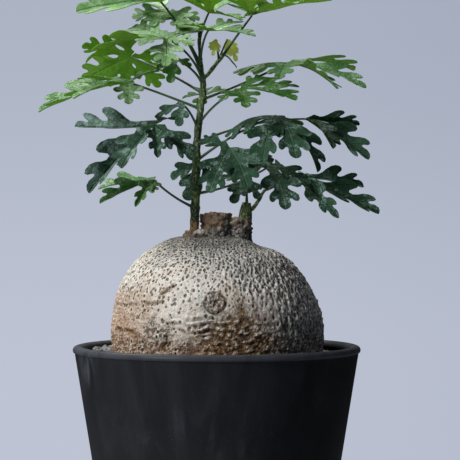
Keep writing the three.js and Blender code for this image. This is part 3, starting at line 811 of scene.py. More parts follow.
def bark_material(finish):
    """Skin by the masks that the caudex keeps, and old wood on its stumps."""
    shader = Shader("warty_bark")
    fine = shader.noise(1000, 4, 0.7)
    crumb = shader.noise(420, 3, 0.65)
    blotch = shader.noise(90, 4, 0.6)
    grained = shader.noise(420, 4, 0.7, stretch=(1, 1, 0.4))
    grain = shader.cells(720)
    dark, grey, warm, eye, ochre, moss_and_shadow = (
        shader.stored(name) for name in ("dark", "grey", "warm", "eye", "ochre", "moss_and_shadow"))
    relief, wood, coarse, beaded, pale = (
        shader.stored(name) for name in ("relief", "wood", "coarse", "beaded", "pale"))
    skin = shader.stored("skin", "Vector")
    bead = shader.cells(1.0, skin, 0.6)
    column = abs(shader.part("X", skin) % 1.0 - 0.5)
    rust = shader.noise(170, 3, 0.6, stretch=(1, 1, 2.2)).between(0.53, 0.66) * (1 - grey)
    stain = eye.between(0.8, 1.1) * eye.fading(1.2, 1.9) * blotch.between(0.46, 0.58)
    rim = eye.between(0.8, 1.0) * eye.fading(1.2, 1.6)
    pit = eye.fading(0.45, 0.85) * eye.between(0.0, 0.4, 0.45, 1.0)
    # A dark tone for painted shade in hollows and between grains, and for dark specks
    shade_and_speck = shader.mixed(grey, "5c4838", "2a2928")
    base = shader.layered(finish.bark_pale, [
        (blotch.between(0.35, 0.7) * 0.6, "b3aa9c"),
        (warm * (0.45 + blotch * 0.8), finish.bark_warm),
        (grey, finish.bark_grey),
        (ochre, finish.bark_ochre),
        (rust * (0.1 + warm) * 0.6, "c4a07a"),
        (stain * (1 - grey) * 0.7, "a87a40"),
        # Moss, lichen and the scar's tint, with a painted shadow below and left of the scar
        (moss_and_shadow, "8c9286"),
        # Painted shade in the hollows of the relief and painted highlights on its ridges
        (relief.fading(-0.8, 0.05, 0.85) * (1 - pale * 0.5), shade_and_speck),
        (relief.between(0.2, 0.8) * (0.5 - ochre * 0.3), "ece8e0"),
        (fine.between(0.54, 0.62) * (0.3 + grey * 0.25 - pale * 0.2), shade_and_speck),
        # Painted highlights on the raised crumbs
        (crumb.between(0.52, 0.62) * (0.6 - warm * 0.4 - ochre * 0.3), "f4f1ea"),
        (pale * (1 - ochre) * 0.55, "f6f2ec"),
        # Painted shade between the coarse grains and painted highlights on their tops
        (grain.between(0.35, 0.65) * coarse * 0.6, shade_and_speck),
        (grain.fading(0.1, 0.3) * coarse * 0.35, shader.mixed(warm, "ddd6ca", "c8a68a")),
        # Painted shade between the beads and in the seams of their rows, painted highlights on the
        # beads
        (bead.between(0.3, 0.6) * beaded * 0.7, "2c2b29"),
        (bead.fading(0.1, 0.32) * beaded * (0.35 + fine.between(0.4, 0.6)), "eeeae2"),
        (column.fading(0.0, 0.16) * beaded * 0.65, "2a2826"),
        (rim * 0.3, "f2eee6"),
        (pit * (0.4 + fine * 0.7), "454340"),
        # Dark skin and lichen, with painted shade in the hollows, cracks and knot and on the right
        # side
        (dark, finish.bark_dark_and_shade),
    ])
    timber = shader.layered(finish.wood, [
        (grained.between(0.42, 0.6) * 0.8, "3a2b20"),
        (blotch.between(0.5, 0.62) * 0.5, "6b6650"),
        # Painted highlights on the raised crumbs of the wood and painted shade in its hollows
        (crumb.between(0.55, 0.66) * 0.55, "a08a6c"),
        (relief.fading(-0.6, 0.1, 0.85), "1f1a16"),
    ])
    base = shader.mixed(wood * (1 - dark * 0.7), base, timber)
    height = fine * 0.6 + crumb - bead * beaded + column * beaded * 1.6
    height = height - grain * coarse * 0.9 - pit * 0.7
    return shader.done(shader.surface(
        base, 0.85, shader.bumped(height, 0.0014, 0.8), Specular_IOR_Level=0.15))


def place_on_trunk(sizes, turn, lift):
    """Point on the plain dome, in the turn and lift of its directions."""
    plump = max(math.cos(lift), 1e-3) ** PLUMP
    rise = sizes.rise if lift > 0 else sizes.sink
    return Vector((
        math.cos(turn) * plump * sizes.radius, math.sin(turn) * plump * sizes.depth,
        sizes.middle + math.sin(lift) * rise)) / MM


def soft_relief(turn, lift):
    """Low lumps, as in the solid under the detailed skin."""
    lumps = np.sin(3 * turn + 1.3) * np.cos(2.2 * lift) + 0.6 * np.sin(5 * turn - 2 * lift)
    return (0.8 * lumps + 0.4 * np.sin(9 * lift + 1.7 * np.sin(2 * turn))) * np.cos(lift)


def cobbles(points, size, share):
    """Rounded grains of the given size where their share counts: height from -1 to 1."""
    height = np.zeros(len(points))
    found = np.nonzero(share > 0.02)[0]
    near = np.array([noise.voronoi(p)[0][0] for p in (points[found] / size).tolist()])
    height[found] = np.clip(1 - 2 * (near / 0.62) ** 2, -1, 1)
    return height


def patch(points, centre, size):
    """Soft ragged patch on the front of the dome."""
    x, y, z = points.T
    reach = np.hypot(x - centre[0], z - centre[1]) + 0.5 * size * rumple(points, 5, 61, 2)
    return (1 - ramp(reach, 0.4 * size, 1.3 * size)) * (y < 0)


def knot_shape(points):
    """Share of skin that the scar takes, its relief, painted shade, and tint with painted shadow.
    """
    x, y, z = points.T
    dx, dz = x - KNOT[0], z - KNOT[1]
    reach = np.hypot(dx, dz * 1.05) / KNOT_SIZE + 0.16 * rumple(points, 3.4, 88, 2)
    on = (1 - ramp(reach, 1.1, 1.4)) * (y < 0)
    grains = cobbles(points, 1.8, on)
    ring = bell(reach, 0.78, 0.22)
    groove = bell(reach, 1.2, 0.12)
    heart = bell(reach, 0, 0.36)
    relief = 0.9 * ring * ramp(rumple(points, 3.0, 26), -0.8, 0.4) + 0.7 * grains
    relief = relief - 1.1 * groove - 0.6 * heart
    # Painted shade in the groove round the scar and between its grains
    dark = 0.8 * groove * ramp(rumple(points, 2.0, 15, 2), -0.3, 0.4)
    dark = dark + 0.5 * heart * ramp(-grains, -0.6, 0.6)
    dark += 0.45 * ramp(-grains, 0, 0.8) * (reach < 1.05)
    # A painted shadow below and left of the scar, laid on with its tint
    below = bell(reach, 1.4, 0.5) * ramp(-dx - dz, -1, 6) * (y < 0)
    return on, relief * on, np.clip(dark, 0, 0.85) * on, np.clip(0.2 * on + 0.9 * below, 0, 1)


def crack_shape(points, start, end, half):
    """The cut of a crack and the lips along it."""
    x, y, z = points.T
    run = np.array(end) - start
    at = np.stack([x - start[0], z - start[1]], 1)
    along = np.clip(at @ run / (run @ run), 0, 1)
    away = np.linalg.norm(at - along[:, None] * run, axis=1) + 0.5 * rumple(points, 1.8, 91)
    front = y < 0
    return bell(away, 0, half) * front, bell(away, 2 * half, half) * front


def add_stump(bm, stump):
    """Adds a knobbly broken branch base with a ragged top, and returns its points' masks."""
    bottom, top, wide, narrow = stump["bottom"], stump["top"], stump["wide"], stump["narrow"]
    heights = np.linspace(bottom, top - 0.5, STUMP_RINGS)
    profile = [(0, bottom), *zip(np.interp(heights, (bottom, top), (wide, narrow)), heights)]
    profile += [(narrow - 0.5, top)]
    profile += [(radius, top) for radius in np.linspace(narrow - 1.2, 0, 10)]
    part = spun(profile, STUMP_STEPS)
    offset = coordinates(part)
    # Columns of the offsets themselves, so that a change here moves the points
    x, y, z = offset.T
    turn, reach = np.arctan2(y, x), np.hypot(x, y)
    share = np.clip((z - bottom) / (top - bottom), 0, 1)
    seed = stump["seed"]
    wall = np.stack([9 * np.cos(turn), 9 * np.sin(turn), z * 0.5], 1)
    groove = rumple(wall, 4.2, seed, 2)
    knobs = rumple(offset, 6.5, seed + 40, 2)
    crumbs = cobbles(offset + 0.6 * knobs[:, None], 2.3, np.ones(len(offset)))
    mantle = ramp(reach, 2, 7)
    swell = 1 + (0.1 * groove + 0.17 * knobs) * mantle
    flare = 1 + stump["flare"] * np.exp(-share * 5.5)
    offset[:, :2] *= (swell * flare + 0.05 * crumbs * mantle)[:, None]
    x += stump["lean"] * share
    ragged = rumple(offset * (1, 1, 0), 3.6, seed + 5, 2)
    rind = ramp(reach, 0.72 * narrow, 0.98 * narrow)
    z += np.where(share > 0.97, 1.1 * ragged + 0.6 * rind - 0.3 + 0.3 * crumbs, 0)
    z -= stump["crest"] * ramp(share, 0.6, 1) * (reach / narrow) ** 2
    if stump.get("notched"):
        x += 2.2 * spot(x, z, (-10, 226.5), (1.6, 1.5))
    placed = offset + (stump["x"], stump["y"], 0)
    move_to(part, placed)
    add_mesh(bm, part)
    x, y, z = placed.T
    cut = np.zeros(len(x))
    wood = np.clip(stump["wood"] * ramp(z + 3 * knobs, 221, 228), 0, 1)
    if stump.get("fresh"):
        # Pale cut beside the vine
        cut = ramp(x, -15.5, -13.5) * ramp(z, 220.6, 221.8) * (y < 0)
        wood = stump["wood"] * (1 - cut)
    slit = spot(x, z, (-1.7, 225.5), (0.8, 3)) * (y < 0)
    lichen = spot(x, z, (7, 227.5), (2.6, 4)) * (y < 0) * ramp(knobs, -0.5, 0.2)
    # Painted shade in the grooves and between the crumbs, dark lichen, painted shade down the right
    # side of the stumps away from the key lamp, and darker knobs on the bark
    dark = 0.2 * ramp(-groove, 0, 0.6) + 0.4 * ramp(-crumbs, 0.3, 1) + 0.6 * lichen
    dark += 0.6 * ramp(x + 3 * knobs, 12, 22) + 0.5 * (1 - wood) * ramp(knobs, -0.8, 0.2)
    return {
        "dark": np.clip(dark, 0, 0.85) * (1 - cut),
        "grey": 0.75 * (1 - cut),
        "warm": 0.25 * cut + slit,
        "ochre": slit,
        "pale": np.zeros(len(x)),
        "moss_and_shadow": np.clip(0.4 * ramp(knobs, 0, 0.6) + lichen, 0, 1) * (1 - cut),
        # The fresh cut is pale wood, and its raised relief also gives it a painted highlight
        "relief": np.clip(0.4 * groove + 0.5 * crumbs + 0.25, -1, 1) * (1 - cut) + 0.8 * cut,
        "wood": wood * (1 - 0.8 * slit) * (1 - 0.7 * lichen),
        "beaded": np.zeros(len(x)),
        "eye": np.full(len(x), 3.0),
        "coarse": (1 - wood) * (1 - cut),
        "skin": placed,
    }


class ADENIA_OT_caudex(bpy.types.Operator):
    """Build the swollen base with its warts, ridges, knot and stumps"""

    bl_idname = "adenia.caudex"
    bl_label = "Caudex"

    def execute(self, context):
        sizes = context.scene.adenia.trunk
        # Even steps where the skin shows, and few under the mix and under the stumps
        lifts = [*np.linspace(-90, -10, 12)[:-1], *np.linspace(-10, 77, 143), 80, 83.5, 87, 90]
        profile = [place_on_trunk(sizes, 0, math.radians(lift)) for lift in lifts]
        profile[0].x = profile[-1].x = 0
        bm = repeated(spun([(p.x, p.z) for p in profile], SECTOR_STEPS, SECTORS), SECTORS)
        squeeze = (sizes.depth / MM) / (sizes.radius / MM)
        bmesh.ops.scale(bm, vec=(1, squeeze, 1), verts=bm.verts)
        masks = [self.carve(bm, coordinates(bm), sizes)]
        masks += [add_stump(bm, stump) for stump in STUMPS]
        bmesh.ops.recalc_face_normals(bm, faces=bm.faces)
        material = bark_material(context.scene.adenia.finish)
        piece = finished("caudex_bark", bm, [material], 80, "caudex")
        for name in masks[0]:
            flat = np.concatenate([part[name] for part in masks]).astype(np.float32)
            kind, field = ("FLOAT_VECTOR", "vector") if flat.ndim > 1 else ("FLOAT", "value")
            kept = piece.data.attributes.new(name, kind, "POINT")
            kept.data.foreach_set(field, flat.ravel())
        return {"FINISHED"}

    def carve(self, bm, points, sizes):
        """Moves the dome's points to the bark's relief and returns the masks for its finish."""
        radius, depth, middle = sizes.radius / MM, sizes.depth / MM, sizes.middle / MM
        x, y, z = points.T
        turn = np.arctan2(y / depth, x / radius)
        rise = np.where(z > middle, sizes.rise / MM, sizes.sink / MM)
        lift = np.arcsin(np.clip((z - middle) / rise, -1, 1))
        outward = np.stack([x / radius ** 2, y / depth ** 2, (z - middle) / rise ** 2], 1)
        outward /= np.linalg.norm(outward, axis=1, keepdims=True) + 1e-9
        # Coordinates that run around and up the skin, so that ridges follow the meridians
        skin = np.stack(
            [SKIN_AROUND * np.cos(turn), SKIN_AROUND * np.sin(turn), SKIN_UP * lift], 1)
        uneven = rumple(points, 20, 5)
        speckle = rumple(points, 3.2, 77, 2)

        def above(low, high, waver=5):
            """Smooth step up the skin, along a line that wavers by so much."""
            return ramp(z + waver * uneven, low, high)

        # Where each kind of skin lies, by height and side
        front = ramp(-y, 0, 25)
        buried = ramp(z, 128, 142)
        low = 1 - above(150, 162)
        left = ramp(-x + 6 * uneven, 26, 52)
        crown = ramp(z + 5 * uneven + 0.15 * x, 190, 208)
        # Darker, coarser skin towards the neck
        near_neck = above(205, 216.5, 4)
        ridged = ramp(x + 9 * uneven, -2, 24) * ramp(z, 136, 146) * (1 - 0.85 * above(200, 214))
        cream = front * spot(x, z, (-19, 188), (21, 19))
        high = front * spot(x, z, (30, 199), (20, 12))
        tan = front * spot(x, z + 5 * uneven, (29, 183), (16, 17))
        streaks = front * spot(x, z, (19, 173), (13, 13))
        under_knot = front * spot(x, z, (-9, 166.5), (17, 6.5))
        lumpy = front * spot(x, z, (13, 158), (21, 15))
        lumpy = np.clip(1.7 * lumpy + 0.25 * low * ramp(x, -25, 10), 0, 1)
        mossy = patch(points, (-34, 162), 9) + 0.8 * patch(points, (43, 166), 5)
        # Large forms: soft lumps, a fuller left shoulder and a dip beside the stumps
        height = 0.7 * soft_relief(turn, lift)
        height += 2.6 * ramp(-x, 0, 32) * ramp(lift, 0.15, 0.6) * (1 - ramp(z, 216, 221))
        height -= 2.0 * spot(x, z, (27, 215), (9, 5))
        # Beads and seams in rows up the right side
        ridge_skin = skin * (1, 1, 0.45) + 0.5 * np.stack([uneven, uneven, speckle], 1)
        share = ridged * (1 - lumpy)
        beads = cobbles(ridge_skin, 2.5, share * buried)
        seams = 1 - 2.4 * np.abs(rumple(skin * (1, 1, 0.2), 3.4, 9))
        fine = share * (0.5 * beads + 0.42 * seams + 0.35 * rumple(ridge_skin, 1.7, 4) - 0.15)
        # Rounded lumps low at the front
        lumps = cobbles(points * (1, 1, 1.3) + 0.9 * speckle[:, None], 3.0, lumpy)
        lumps = np.clip(0.8 * lumps + 0.8 * rumple(points * (1, 1, 1.4), 4.5, 19), -1, 1)
        fine += lumpy * (0.65 * lumps + 0.55 * rumple(points, 2.0, 14, 2))
        # Crumbly skin near the soil and in the mossy patches
        rough = np.clip(low * (1 - lumpy) + 1.2 * mossy, 0, 1) * (1 - 0.6 * ridged)
        crumbs = cobbles(points + 0.4 * speckle[:, None], 2.5, rough * buried)
        fine += rough * (0.7 * crumbs + 0.4 * rumple(skin * (1, 1, 0.4), 1.8, 21) - 0.1)
        # Level bands on the warm side
        banded = left * (1 - above(184, 194, 6)) * (1 - rough)
        bands = np.sin((z + 1.3 * rumple(points * (0.5, 0.5, 1), 6, 52)) * FULL_TURN / 2.7)
        fine += banded * (0.08 * bands + 0.5 * rumple(points * (0.7, 0.7, 1.4), 1.8, 63, 2))
        # Wrinkles below the knot
        wrinkle = np.sin((z + 2.6 * rumple(points * (0.7, 0.7, 1), 7, 40)) * FULL_TURN / 3.9)
        wrinkle *= 0.75 + 0.6 * rumple(points * (1, 1, 0.4), 5, 66)
        fine += under_knot * (1.9 * wrinkle + 0.8 * rumple(points, 2.6, 47)) * (1 - 0.3 * lumpy)
        fine += 0.38 * rumple(points, 2.1, 33, 2)
        eye, rim, halo = self.warts(points, outward, sizes, ridged, lumpy)
        fine += rim - 0.7 * bell(eye, 0, 0.8)
        # Painted shade in the hollows between beads, in the wrinkles and between lumps, dark
        # stripes along the bands, and ochre among the lumps
        darks = [
            0.25 * share * ramp(-beads, 0, 0.9),
            0.3 * banded * ramp(-bands - 1.5 * speckle, 0.6, 1.6),
            0.55 * under_knot * ramp(-wrinkle, 0.1, 0.9),
            0.32 * lumpy * ramp(-lumps + 0.3 * speckle, -0.2, 0.8),
        ]
        ochres = [
            lumpy * ramp(-lumps + 0.6 * speckle, -0.7, 0.5),
            1.1 * streaks * ramp(rumple(skin * (1, 1, 0.2), 4.5, 88), -0.3, 0.4),
        ]
        for start, end, half, deep in CRACKS:
            cut, lips = crack_shape(points, start, end, half)
            fine += 0.2 * lips - 0.9 * cut * deep
            ochres.append(np.clip(1.3 * lips + cut, 0, 1) * deep)
            # Painted shade in the cut of each crack
            darks.append(0.7 * cut * deep)
        knot, scar, scar_shade, scar_tint_and_shadow = knot_shape(points)
        fine = fine * (1 - knot) + scar
        move_to(bm, points + outward * (height + fine * sizes.relief * buried)[:, None])
        # Colour masks
        # Painted shade: darker on the lower right, away from the key lamp
        painted_shade_right = 0.12 * ramp(x + 6 * speckle, 22, 52) * (1 - above(156, 176))
        dark = np.maximum.reduce([
            np.maximum.reduce(darks) * (1 - knot),
            scar_shade,
            # Painted shade on the right shoulder beside the stumps
            0.32 * spot(x, z, (18, 213), (11, 6)) * front,
            0.45 * near_neck * ramp(speckle, -1.2, 0.2) + 0.2 * near_neck + painted_shade_right,
        ])
        grey = 0.9 * ridged * (1 - 0.6 * lumpy) + 0.9 * crown + 0.2 * speckle
        grey += 0.7 * ramp(-x, 38, 60) * ramp(z, 176, 196) - 0.6 * tan
        grey = np.clip(grey, 0, 1)
        warm = left * (1 - above(174, 194, 8)) + 0.9 * low + 0.25 * speckle - 0.12
        warm = warm * (1 - 0.6 * ridged) + 0.5 * halo * (1 - grey)
        warm = warm + 0.5 * (lumpy + 0.4 * knot + 0.5 * tan)
        coarse = 0.9 * low + 0.5 * crown + 0.5 * near_neck + mossy + 0.7 * lumpy + 0.3 * left
        coarse = coarse + 0.1 + 0.4 * speckle + knot
        moss_and_shadow = 0.8 * mossy * ramp(speckle, -0.4, 0.5) + scar_tint_and_shadow
        beaded = share * (0.35 + 0.5 * ramp(x, 20, 46)) * (1 - 0.4 * tan)
        bead_rows = [SKIN_AROUND * turn / 2.5 + 0.5 * uneven, SKIN_UP * lift / 2.3, 0 * turn]
        return {
            "dark": np.clip(dark, 0, 0.95),
            "grey": grey,
            "warm": np.clip(warm, 0, 1),
            "ochre": np.maximum.reduce(ochres) * (1 - knot),
            "pale": np.clip((cream + 0.5 * tan + 0.45 * high) * (1 - knot), 0, 1),
            "moss_and_shadow": np.clip(moss_and_shadow, 0, 1),
            "relief": np.clip(fine, -1, 1),
            "wood": np.zeros(len(points)),
            "beaded": beaded * (1 - knot),
            "eye": eye + 2 * knot + 0.15 * near_neck,
            "coarse": np.clip(coarse, 0, 1),
            "skin": np.stack(bead_rows, 1),
        }

    def warts(self, points, outward, sizes, ridged, lumpy):
        """Sunken, dark-eyed warts all over the dome, closer together towards the neck: how far
        each point is from an eye in eyes' sizes, the lip around it and its stain."""
        rng = random.Random(5)
        tree = kdtree.KDTree(len(points))
        for i, p in enumerate(points):
            tree.insert(p, i)
        tree.balance()
        eye, rim, halo = np.full(len(points), 3.0), np.zeros(len(points)), np.zeros(len(points))
        lift, last = np.radians(WART_LIFTS).tolist()
        row = 0
        while lift < last:
            ring = sizes.radius / MM * math.cos(lift) ** PLUMP
            high = held((math.degrees(lift) - 22) / 42)
            gap = WART_GAP - WART_CLOSER * high
            count = int(FULL_TURN * ring / gap)
            for k in range(count):
                stray = rng.uniform(-WART_STRAY, WART_STRAY)
                turn = (k + 0.5 * (row % 2) + stray) / count * FULL_TURN
                tilt = lift + rng.uniform(-WART_STRAY, WART_STRAY) * gap / SKIN_UP
                size = rng.uniform(0.66, 1.25) * (1 - 0.12 * high)
                keep, strong = rng.random(), rng.uniform(0.75, 1.15)
                stained = rng.random() < WART_STAINED
                centre = place_on_trunk(sizes, turn, tilt)
                nearest = tree.find(centre)[1]
                chance = 0.4 + 0.6 * ramp(np.array(centre.z), 168, 192) - 0.6 * lumpy[nearest]
                if keep > chance:
                    continue
                along = place_on_trunk(sizes, turn, tilt + 0.01) - centre
                along.normalize()
                across = along.cross(Vector(outward[nearest])).normalized()
                long = 1.05 + 0.45 * ridged[nearest] + 0.3 * rng.random()
                found = [i for _, i, _ in tree.find_range(centre, 2.4 * size * long)]
                offset = points[found] - np.array(centre)
                reach = np.sqrt((offset @ np.array(along) / (size * long)) ** 2
                                + (offset @ np.array(across) / size) ** 2)
                eye[found] = np.minimum(eye[found], reach / strong)
                rim[found] = np.maximum(rim[found], 0.38 * size * bell(reach, 1.3, 0.45))
                if stained:
                    halo[found] = np.maximum(halo[found], bell(reach, 0, 1.7))
            lift += gap * 0.86 / SKIN_UP
            row += 1
        return eye, rim, halo


# Stems

def stem_material(finish):
    """Green bark that turns corky at the foot of the shoot."""
    shader = Shader("green_stem")
    fleck = shader.noise(800, 3, 0.7, stretch=(1, 1, 0.7))
    band = shader.noise(160, 4, 0.65, stretch=(1, 1, 0.5))
    corky = (shader.part("Z") + (band - 0.5) * 0.006).fading(0.2262, 0.2295)
    base = shader.layered("22361c", [
        (band.between(0.4, 0.6), finish.stem),
        (fleck.between(0.52, 0.62) * 0.8, "a2b07a"),
        (fleck.fading(0.36, 0.46) * 0.6, "1c2a18"),
        (corky, shader.mixed(fleck.between(0.42, 0.6), "5c3a20", "b08a5c")),
    ])
    return shader.done(shader.surface(base, 0.5, shader.bumped(fleck + band, 0.0009, 0.9)))


def stalk_material():
    shader = Shader("leaf_stalk")
    base = shader.mixed(shader.noise(120, 2, 0.5), "2c4a2c", "3f5f35")
    return shader.done(shader.surface(base, 0.45))


class ADENIA_OT_stems(bpy.types.Operator):
    """Grow the vine, the side shoot and the twig"""

    bl_idname = "adenia.stems"
    bl_label = "Stems"

    def execute(self, context):
        material = stem_material(context.scene.adenia.finish)
        for node, stems in GROWN.items():
            bm = bmesh.new()
            for stem in stems:
                points, radii, steps, sides = STEMS[stem]
                course = through(points, steps)
                radii = spread(radii, steps + 1)
                if stem == "vine":
                    # It thickens a little where a leaf's stalk leaves it
                    heights = np.array([p.z for p in course])
                    for leaf in LEAVES.values():
                        if leaf.get("stem", "vine") == "vine":
                            radii = radii * (1 + 0.22 * bell(heights, leaf["foot"], 1.8))
                add_tube(bm, course, radii, sides)
            roughen(bm, 2.2, 0.3, (2.0, 22.0, 47.0))
            finished(f"{node}_bark", bm, [material], 60, node)
        return {"FINISHED"}


# Leaves

def leaf_material(look, top, patches, painted_sheen, under, lit, glow, rough=0.4, shine=0.22, painted_glow=0.0,
                  left_painted_sheen=0.2):
    """A blade's skin: darker under the painted sheen of its top, and lit through from behind."""
    shader = Shader(f"leaf_{look}")
    lobe = shader.node("ShaderNodeUVMap", {"uv_map": "lobe"})
    away = abs(shader.part("Y", lobe) - 0.5)
    herring = abs(((shader.part("X", lobe) - away * 0.9) * 7.5) % 1.0 - 0.5)
    ribs = herring.fading(0.03, 0.09) * away.fading(0.2, 0.28)
    veins = away.fading(0.006, 0.016) + ribs * 0.45
    cloud = shader.noise(45, 3, 0.6)
    spots = shader.noise(85, 3, 0.6)
    mottle = shader.noise(330, 4, 0.65)
    fleck = shader.noise(1100, 2, 0.6)
    upper = shader.stored("upper")
    # More painted sheen on the leaves at the left, where the key lamp falls
    outer = shader.part("X").fading(-0.065, -0.03)
    # Painted sheen: pale glossy patches and flecks on the tops
    painted_sheen_share = mottle.between(0.47, 0.6) * 0.5 + fleck.between(0.52, 0.64) * 0.5
    painted_sheen_share = (painted_sheen_share + outer * left_painted_sheen) * (spots + outer * 0.05).between(0.46, 0.6, 0.1, 1.0)
    blotchy = mottle.between(0.45, 0.7)
    front = shader.layered(patches, [
        (cloud.between(0.35, 0.65), top), (painted_sheen_share, painted_sheen), (veins * 0.15, "93b284")])
    back = shader.mixed(veins * 0.1 + blotchy * 0.1, under, "a2b478")
    normal = shader.bumped(mottle - veins * 0.5, 0.0014, 1.0)
    # Its emission is a painted glow
    skin = shader.surface(
        shader.mixed(upper, back, front), rough + (1 - upper) * 0.25, normal,
        Specular_IOR_Level=shine, Emission_Color=rgba(lit), Emission_Strength=painted_glow)
    through_skin, through_veins = (
        shader.node("ShaderNodeBsdfTranslucent", {}, {"Color": rgba(colour), "Normal": normal})
        for colour in (lit, "cbdc7a"))
    behind = shader.blended(veins * 0.2 + blotchy * 0.25, through_skin, through_veins)
    return shader.done(shader.blended(glow, skin, behind))


def lobe_sheets(count, edge):
    """One flat sheet of lobes side by side, cut fine enough to bend. Each point keeps its lobe
    and its place along and beside that lobe's midrib."""
    bm = bmesh.new()
    known = bm.verts.layers.float_vector.new("lobe")
    uv = bm.loops.layers.uv.new("lobe")
    for index in range(count):
        first = OPEN_WAIST if index == 0 else WAIST
        last = OPEN_WAIST if index == count - 1 else WAIST
        outline = [(0, 0), (first[0], -first[1]), *[(s, -w) for s, w in edge],
                   *reversed(edge[:-1]), last]
        start = len(bm.verts)
        verts = [bm.verts.new((s, w, 0)) for s, w in outline]
        rim = [bm.edges.new(pair) for pair in zip(verts, verts[1:] + verts[:1])]
        bmesh.ops.edgeloop_fill(bm, edges=rim)
        for axis, cuts in ((1, SIDE_CUTS), (0, LONG_CUTS)):
            for cut in cuts:
                bm.verts.ensure_lookup_table()
                mine = bm.verts[start:]
                faces = once(f for v in mine for f in v.link_faces)
                lines = once(e for f in faces for e in f.edges)
                at, across = Vector(ORIGIN), Vector(ORIGIN)
                at[axis], across[axis] = float(cut), 1
                bmesh.ops.bisect_plane(
                    bm, geom=[*mine, *lines, *faces], dist=1e-5, plane_co=at, plane_no=across)
        bm.verts.ensure_lookup_table()
        mine = bm.verts[start:]
        for vert in mine:
            vert[known] = (index, vert.co.x, vert.co.y)
        for face in once(f for v in mine for f in v.link_faces):
            for loop in face.loops:
                loop[uv].uv = (loop.vert.co.x, 0.5 + loop.vert.co.y)
        turn = Matrix.Rotation((index - (count - 1) / 2) * LOBE_TURN, 3, "Z")
        bmesh.ops.rotate(bm, cent=ORIGIN, matrix=turn, verts=mine)
    bmesh.ops.triangulate(bm, faces=bm.faces)
    shared = [v for v in bm.verts if v[known][1] < WAIST[0] + 1e-3]
    bmesh.ops.remove_doubles(bm, verts=shared, dist=TOUCHING)
    return bm


class Blade:
    """The form of one leaf blade: where each place on a lobe lies."""

    def __init__(self, leaf, sizes, key):
        self.hub = Vector(leaf["hub"])
        self.width = leaf.get("width", 1)
        self.wave = sizes.wave
        self.key = key
        facing = Vector(leaf.get("face", UP)).normalized()
        usual = (0, leaf.get("arch", 0.1), sizes.keel)
        self.lobes = []
        for tip in leaf["tips"]:
            x, y, z, twist, arch, fold = (*tip, *usual[len(tip) - 3:])
            run = Vector((x, y, z)) - self.hub
            side = facing.cross(run).normalized()
            side = Matrix.Rotation(math.radians(twist), 3, run) @ side
            self.lobes.append((run, side, run.cross(side).normalized(), arch, fold))

    def on_lobe(self, index, s, w):
        """Place of a point along and beside its lobe's own midrib."""
        run, side, normal, arch, fold = self.lobes[index]
        span = run.length
        across = w * self.width
        ripple = noise.noise(Vector((s * 4.2, w * 6 + index * 3.1, self.key)))
        lift = 4 * arch * s * (1 - s) + math.sin(fold) * abs(across)
        lift = lift + self.wave * ripple * min(s * 3, 1)
        return self.hub + run * s + side * (across * math.cos(fold) * span) + normal * (span * lift)

    def at(self, index, s, w):
        """The same, but near the hub it runs smoothly into the lobe beside it."""
        place = self.on_lobe(index, s, w)
        other = index + (1 if w > 0 else -1)
        if 0 <= other < len(self.lobes) and s > 0:
            near = held((abs(w) / s - 0.22) / 0.28) * held((0.3 - s) / 0.1)
            share = 0.5 * near * near * (3 - 2 * near)
            if share > 0:
                turn = -LOBE_TURN if w > 0 else LOBE_TURN
                s2 = s * math.cos(turn) - w * math.sin(turn)
                w2 = s * math.sin(turn) + w * math.cos(turn)
                place = place.lerp(self.on_lobe(other, s2, w2), share)
        return place


def stalk_course(leaf):
    """Bowed course of a leaf's stalk, from the stem at its foot's height to its hub."""
    stem = through(STEMS[leaf.get("stem", "vine")][0], 200)
    start = min(stem, key=lambda p: abs(p.z - leaf["foot"]))
    end = Vector(leaf["hub"])
    away = Vector((end.x - start.x, end.y - start.y, 0)).normalized()
    slant = math.radians(leaf["rise"])
    bend = start + (away * math.cos(slant) + UP * math.sin(slant)) * (end - start).length * 0.5
    return [start * (1 - t) ** 2 + bend * 2 * t * (1 - t) + end * t * t
            for t in np.linspace(0, 1, STALK_STEPS + 1)]


class ADENIA_OT_leaves(bpy.types.Operator):
    """Grow every leaf with its stalk and lobed blade"""

    bl_idname = "adenia.leaves"
    bl_label = "Leaves"

    def execute(self, context):
        finish, sizes = context.scene.adenia.finish, context.scene.adenia.foliage
        skins = {look: leaf_material(look, getattr(finish, look), **settings)
                 for look, (_, settings) in LOOKS.items()}
        stalks = stalk_material()
        sheets = {}
        for number, (name, leaf) in enumerate(LEAVES.items()):
            kind = (len(leaf["tips"]), leaf.get("small", False))
            if kind not in sheets:
                sheets[kind] = lobe_sheets(kind[0], SMALL_EDGE if kind[1] else FULL_EDGE)
            bm = sheets[kind].copy()
            layer = bm.verts.layers.float_vector["lobe"]
            blade = Blade(leaf, sizes, number * 5.7)
            for vert in bm.verts:
                index, s, w = vert[layer]
                vert.co = blade.at(round(index), s, w)
            bmesh.ops.recalc_face_normals(bm, faces=bm.faces)
            bmesh.ops.solidify(bm, geom=bm.faces[:], thickness=sizes.blade / MM)
            bm.normal_update()
            upper = bm.verts.layers.float.new("upper")
            for vert in bm.verts:
                vert[upper] = vert.normal.dot(blade.lobes[round(vert[layer][0])][2]) > 0
            course = stalk_course(leaf)
            wide = leaf.get("stalk", sizes.stalk / MM)
            radii = spread([1.5 * wide, 1.1 * wide, wide, wide, 0.85 * wide], len(course))
            add_tube(bm, course, radii, STALK_SIDES, material=1)
            look = leaf["look"]
            finished(f"leaf_{name}_blade", bm, [skins[look], stalks], 45,
                     f"leaf_{name}")
        for bm in sheets.values():
            bm.free()
        return {"FINISHED"}


# Stage

# The camera's place, its focal length and the picture's width in pixels, and its sensor
CAMERA_PLACE = (8.3 * MM, -1095 * MM, 223.4 * MM)
FOCAL_PIXELS, PICTURE_PIXELS, SENSOR_WIDTH = 1746, 460, 36
